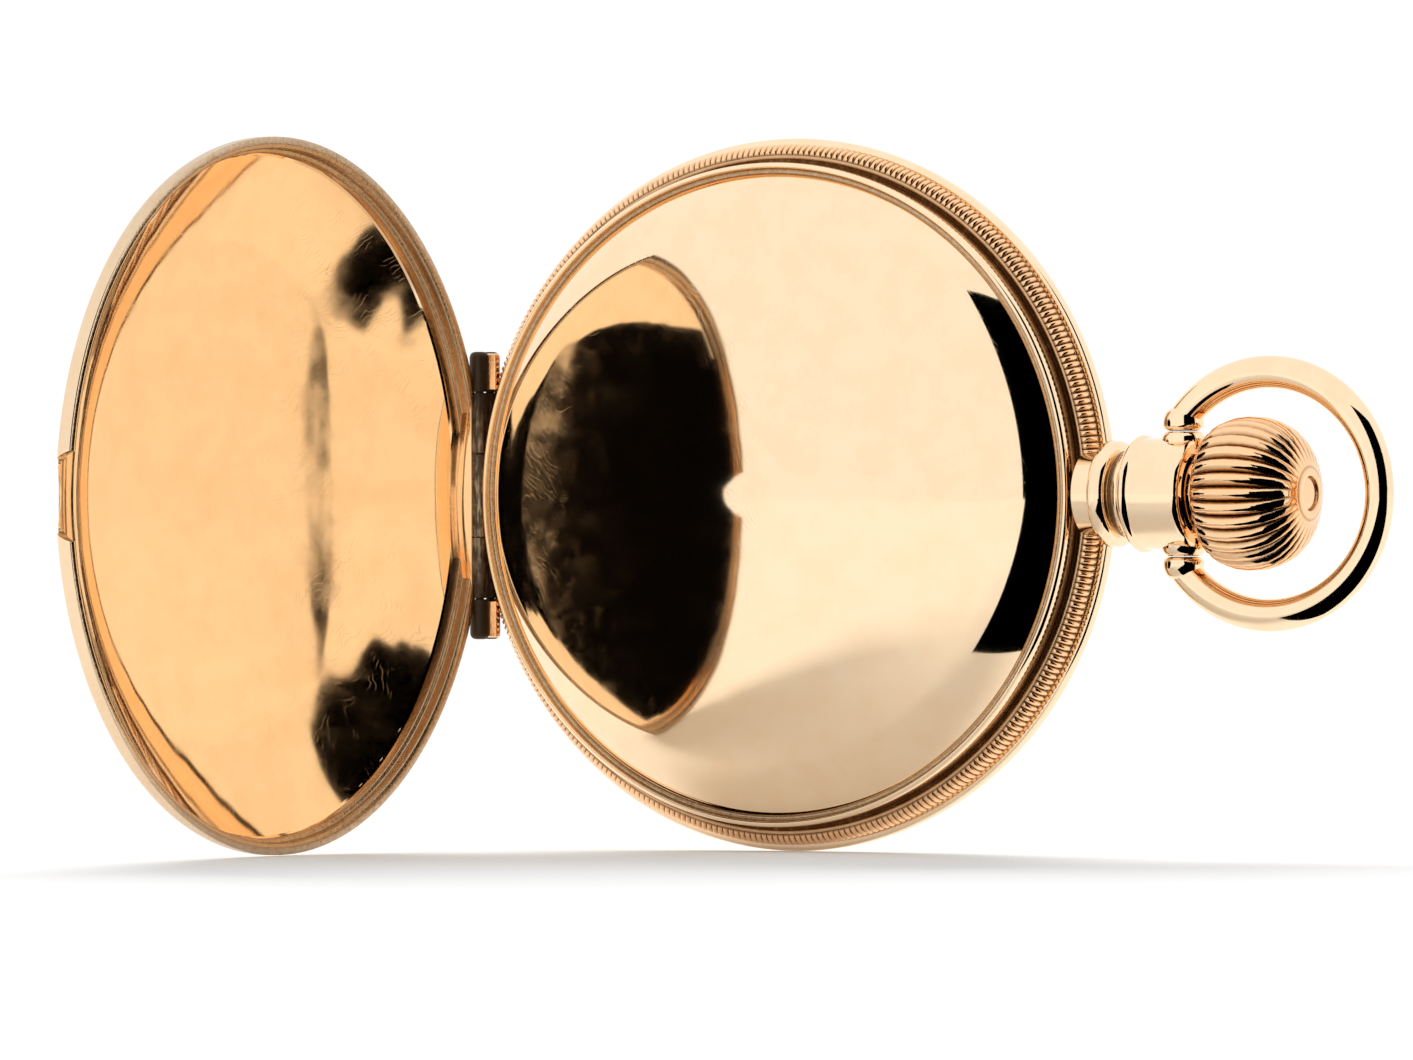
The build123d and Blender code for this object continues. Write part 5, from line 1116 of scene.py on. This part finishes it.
class WATCH_OT_dial(bpy.types.Operator):
    """Build the enamel dial with its numbers and tracks, and finish the hands"""

    bl_idname = "watch.dial"
    bl_label = "Dial and hands"

    def execute(self, context):
        settings = context.scene.watch_movement
        white, black = enamel(settings), ink()
        face = frame["nodes"]["dial"]
        face.data.materials.clear()
        face.data.materials.append(white)
        top = DIAL_HIGH.y
        hand_low, hand_high = span("fourth_pinion")
        seconds = (0.0, CENTRE_Z - (hand_low.z + hand_high.z) / 2)
        runs = []
        for minute in range(60):
            angle = math.radians(6 * minute)
            runs.append(mark(0.9, 0.34 if minute % 5 == 0 else 0.12, 20.2, angle, top))
        for minute in range(360):
            for r in (20.15, 21.1):
                runs.append(mark(0.1, 0.38, r, math.radians(minute), top))
        for second in range(60):
            width = 0.16 if second % 10 == 0 else 0.08
            runs.append(mark(0.55, width, 4.5, math.radians(6 * second), top - 0.15, seconds))
        for step in range(180):
            for r in (4.45, 5.1):
                runs.append(mark(0.06, 0.19, r, math.radians(2 * step), top - 0.15, seconds))
        parts = [strokes("dial_tracks", runs, black)]
        numbers = []
        for hour, word in enumerate(ROMAN):
            if hour == 6:
                continue
            numbers.append(numeral(word, 4.6, 17.2, math.radians(30 * hour), top + 0.01, black,
                                   squeeze=1.0 if len(word) < 3 else 0.8))
        for second in (60, 15, 30, 45):
            numbers.append(numeral(str(second), 1.3, 3.5, math.radians(6 * second), top - 0.14, black, seconds))
        parts.append(join("dial_numbers", numbers))
        for part in parts:
            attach(part, "case")
        blue = turned_metal("blued_finish", tuple(settings.blued), 0.14)
        for node in ("hour_hand", "minute_hand", "seconds_hand"):
            hand = frame["nodes"][node]
            hand.data.materials.clear()
            hand.data.materials.append(blue)
            soften(hand, 0.06, 2)
        return {"FINISHED"}


class WATCH_OT_movement(bpy.types.Operator):
    """Finish the plates, wheels, springs, screws and jewels of the movement"""

    bl_idname = "watch.movement"
    bl_label = "Movement"

    def execute(self, context):
        settings = context.scene.watch_movement
        steel = turned_metal("polished_steel", (0.60, 0.60, 0.60), 0.16)
        blue = bpy.data.materials["blued_finish"]
        brass = turned_metal("gilt_brass", tuple(settings.brass), 0.2)
        plate, jewel = damaskeened(settings), ruby()
        finishes = {
            plate: ("pillar_plate", "top_plate", "balance_cock", "pillars"),
            brass: ("barrel", "barrel_cover", "centre_wheel", "third_wheel", "fourth_wheel", "escape_wheel",
                    "minute_wheel", "hour_wheel", "stem_sleeve", "balance_wheel", "balance_screws"),
            jewel: ("jewels", "cock_jewel", "pallet_stones"),
            blue: ("lift_spring", "mainspring", "hairspring", "case_screws", "top_plate_screws", "cock_screw",
                   "click_screw"),
            steel: ("winding_stem", "lid_catch", "click", "crown_wheel", "ratchet_wheel", "winding_pinion",
                    "barrel_arbor", "centre_pinion", "third_pinion", "fourth_pinion", "escape_pinion",
                    "pallet_fork", "pallet_arbor", "balance_staff", "roller", "cannon_pinion", "regulator"),
        }
        for material, nodes in finishes.items():
            for node in nodes:
                piece = frame["nodes"][node]
                piece.data.materials.clear()
                piece.data.materials.append(material)
        for node in ("top_plate", "balance_cock", "balance_wheel", "regulator", "pillar_plate"):
            soften(frame["nodes"][node], 0.07, 2)
        return {"FINISHED"}


# ------------------------------------------------------------------ stage
AMBIENT = 0.58        # share of the room's brightness that lights dull surfaces
FLOOR_HALF = 3.0      # metres
FLOOR_LIFT, FLOOR_SHINE = 0.18, 0.2     # light that the floor adds for the camera and in mirrors
CARD_AZIMUTH, CARD_HALF_ANGLE = math.radians(63), math.radians(34.5)
CARD_DISTANCE, CARD_HEIGHT = 2.0, 4.6   # metres
STRIP_START, STRIP_END = math.radians(31), math.radians(97)
STRIP_NEAR, STRIP_FAR = 0.05, 2.7       # metres
LAMP_TOWARD = Vector((-0.55, 0.85, 0.72))
LAMP_ANGLE = math.radians(40)


def white_room(level):
    """Even white surroundings; the camera and mirrors see them white."""
    world = bpy.data.worlds.new("white_room")
    bpy.context.scene.world = world
    world.use_nodes = True
    sky = Network(world.node_tree, "Background")
    sky.shader.inputs["Color"].default_value = (1, 1, 1, 1)
    seen = (sky.ray("Is Camera Ray") + sky.ray("Is Glossy Ray") + sky.ray("Is Transmission Ray")).clamp()
    sky.drive("Strength", seen * (level * (1 - AMBIENT)) + level * AMBIENT)


def sky_lamp(name, toward, strength):
    """Even, soft light from a wide part of the sky; mirrors do not show it."""
    lamp = bpy.data.lights.new(name, "SUN")
    lamp.angle = LAMP_ANGLE
    lamp.energy = strength
    made = bpy.data.objects.new(name, lamp)
    bpy.context.scene.collection.objects.link(made)
    made.rotation_euler = toward.to_track_quat("Z", "Y").to_euler()
    made.visible_glossy = False
    return made


def glow(name, colour, strength):
    """Plain emitting paint."""
    material = bpy.data.materials.new(name)
    material.use_nodes = True
    material.node_tree.nodes.clear()
    paint = Network(material.node_tree)
    light = paint.node("ShaderNodeEmission", {}, {"Color": (*colour, 1), "Strength": strength})
    paint.node("ShaderNodeOutputMaterial", {}, {"Surface": light})
    return material


def card(name, azimuth, elevation, distance, size, material):
    """Flat card that faces the watch from a direction, seen only in reflections."""
    toward = direction(azimuth, elevation)
    place = CENTRE + toward * distance
    side = Vector((0, 0, 1)).cross(toward).normalized()
    up = toward.cross(side).normalized()
    corners = [place + side * (size[0] * a) + up * (size[1] * b) for a, b in
               ((-0.5, -0.5), (0.5, -0.5), (0.5, 0.5), (-0.5, 0.5))]
    made = new_object(name, corners, [(0, 1, 2, 3)], material)
    made.visible_camera = False
    made.visible_diffuse = False
    made.visible_shadow = False
    return made


def floor_card(start, end, near, far, material):
    """Dark strip on the floor between two directions, seen only in reflections."""
    lift = Vector((CENTRE.x, CENTRE.y, 0.0001))
    corners = [lift + direction(azimuth, 0) * reach for azimuth, reach in
               ((start, near), (start, far), (end, far), (end, near))]
    made = new_object("dark_floor_strip", corners, [(0, 1, 2, 3)], material)
    made.visible_camera = made.visible_diffuse = made.visible_shadow = False


def direction(azimuth, elevation):
    """Unit vector from the watch, counted from its back toward the pendant, and upward."""
    return Vector((math.sin(azimuth) * math.cos(elevation), -math.cos(azimuth) * math.cos(elevation),
                   math.sin(elevation)))


class WATCH_OT_stage(bpy.types.Operator):
    """Build the floor, the lights, the dark card and the camera"""

    bl_idname = "watch.stage"
    bl_label = "Stage"

    def execute(self, context):
        settings = context.scene.watch_stage
        white_room(settings.light)
        floor_paint = Finish("floor", roughness=0.6, specular_ior_level=0.0, emission_strength=1.0)
        tone = floor_paint.noise(0.05, 2.0)
        floor_paint.drive("Base Color", floor_paint.mix(tone, (0.86, 0.86, 0.86), (0.88, 0.88, 0.88)))
        lift = floor_paint.ray("Is Camera Ray") * FLOOR_LIFT + floor_paint.ray("Is Glossy Ray") * FLOOR_SHINE
        floor_paint.drive("Emission Color", floor_paint.mix(lift, (0, 0, 0), (1, 1, 1)))
        half = FLOOR_HALF
        floor = new_object("floor", [(-half, -half, 0), (half, -half, 0), (half, half, 0), (-half, half, 0)],
                           [(0, 1, 2, 3)], floor_paint.material)
        black = glow("dark_card", (0, 0, 0), 0.0)
        card_width = 2 * CARD_DISTANCE * math.tan(CARD_HALF_ANGLE)
        card("dark_card", CARD_AZIMUTH, 0, CARD_DISTANCE, (card_width, CARD_HEIGHT), black)
        floor_card(STRIP_START, STRIP_END, STRIP_NEAR, STRIP_FAR, black)
        sky_lamp("overhead_lamp", LAMP_TOWARD, settings.lamp)
        lens = bpy.data.cameras.new("camera")
        lens.lens = settings.lens
        lens.sensor_width = 36
        lens.clip_end = 20
        camera = bpy.data.objects.new("camera", lens)
        bpy.context.scene.collection.objects.link(camera)
        camera.location = CENTRE + direction(settings.azimuth, 0) * settings.distance - Vector((0, 0, 0.44 * MM))
        look = direction(math.radians(28.51), math.radians(0.13)) * -1
        camera.rotation_euler = look.to_track_quat("-Z", "Y").to_euler()
        camera.rotation_euler.rotate_axis("Z", math.radians(-0.13))
        bpy.context.scene.camera = camera
        bpy.context.scene.view_settings.view_transform = "Standard"
        return {"FINISHED"}


class WATCH_PT_panel(bpy.types.Panel):
    """Buttons that build each part of the watch"""

    bl_label = "Pocket watch"
    bl_idname = "WATCH_PT_panel"
    bl_space_type = "VIEW_3D"
    bl_region_type = "UI"
    bl_category = "Watch"

    def draw(self, context):
        for group in (context.scene.watch_case, context.scene.watch_movement, context.scene.watch_stage):
            for name in group.__annotations__:
                self.layout.prop(group, name)
        for operator in OPERATORS:
            self.layout.operator(operator.bl_idname)


SETTINGS = {"watch_case": WatchCaseSettings, "watch_movement": WatchMovementSettings,
            "watch_stage": WatchStageSettings}
OPERATORS = (WATCH_OT_back_cover, WATCH_OT_front_cover, WATCH_OT_cuvette, WATCH_OT_band, WATCH_OT_pendant,
             WATCH_OT_bow, WATCH_OT_crown, WATCH_OT_bezel, WATCH_OT_dial, WATCH_OT_movement, WATCH_OT_stage)


def register():
    for name, group in SETTINGS.items():
        bpy.utils.register_class(group)
        setattr(bpy.types.Scene, name, bpy.props.PointerProperty(type=group))
    for operator in OPERATORS:
        bpy.utils.register_class(operator)
    bpy.utils.register_class(WATCH_PT_panel)


def unregister():
    bpy.utils.unregister_class(WATCH_PT_panel)
    for operator in reversed(OPERATORS):
        bpy.utils.unregister_class(operator)
    for name, group in SETTINGS.items():
        delattr(bpy.types.Scene, name)
        bpy.utils.unregister_class(group)


def main():
    """Register the add-on and build every part in order."""
    register()
    for operator in OPERATORS:
        group, name = operator.bl_idname.split(".")
        getattr(getattr(bpy.ops, group), name)()


if __name__ == "__main__":
    main()
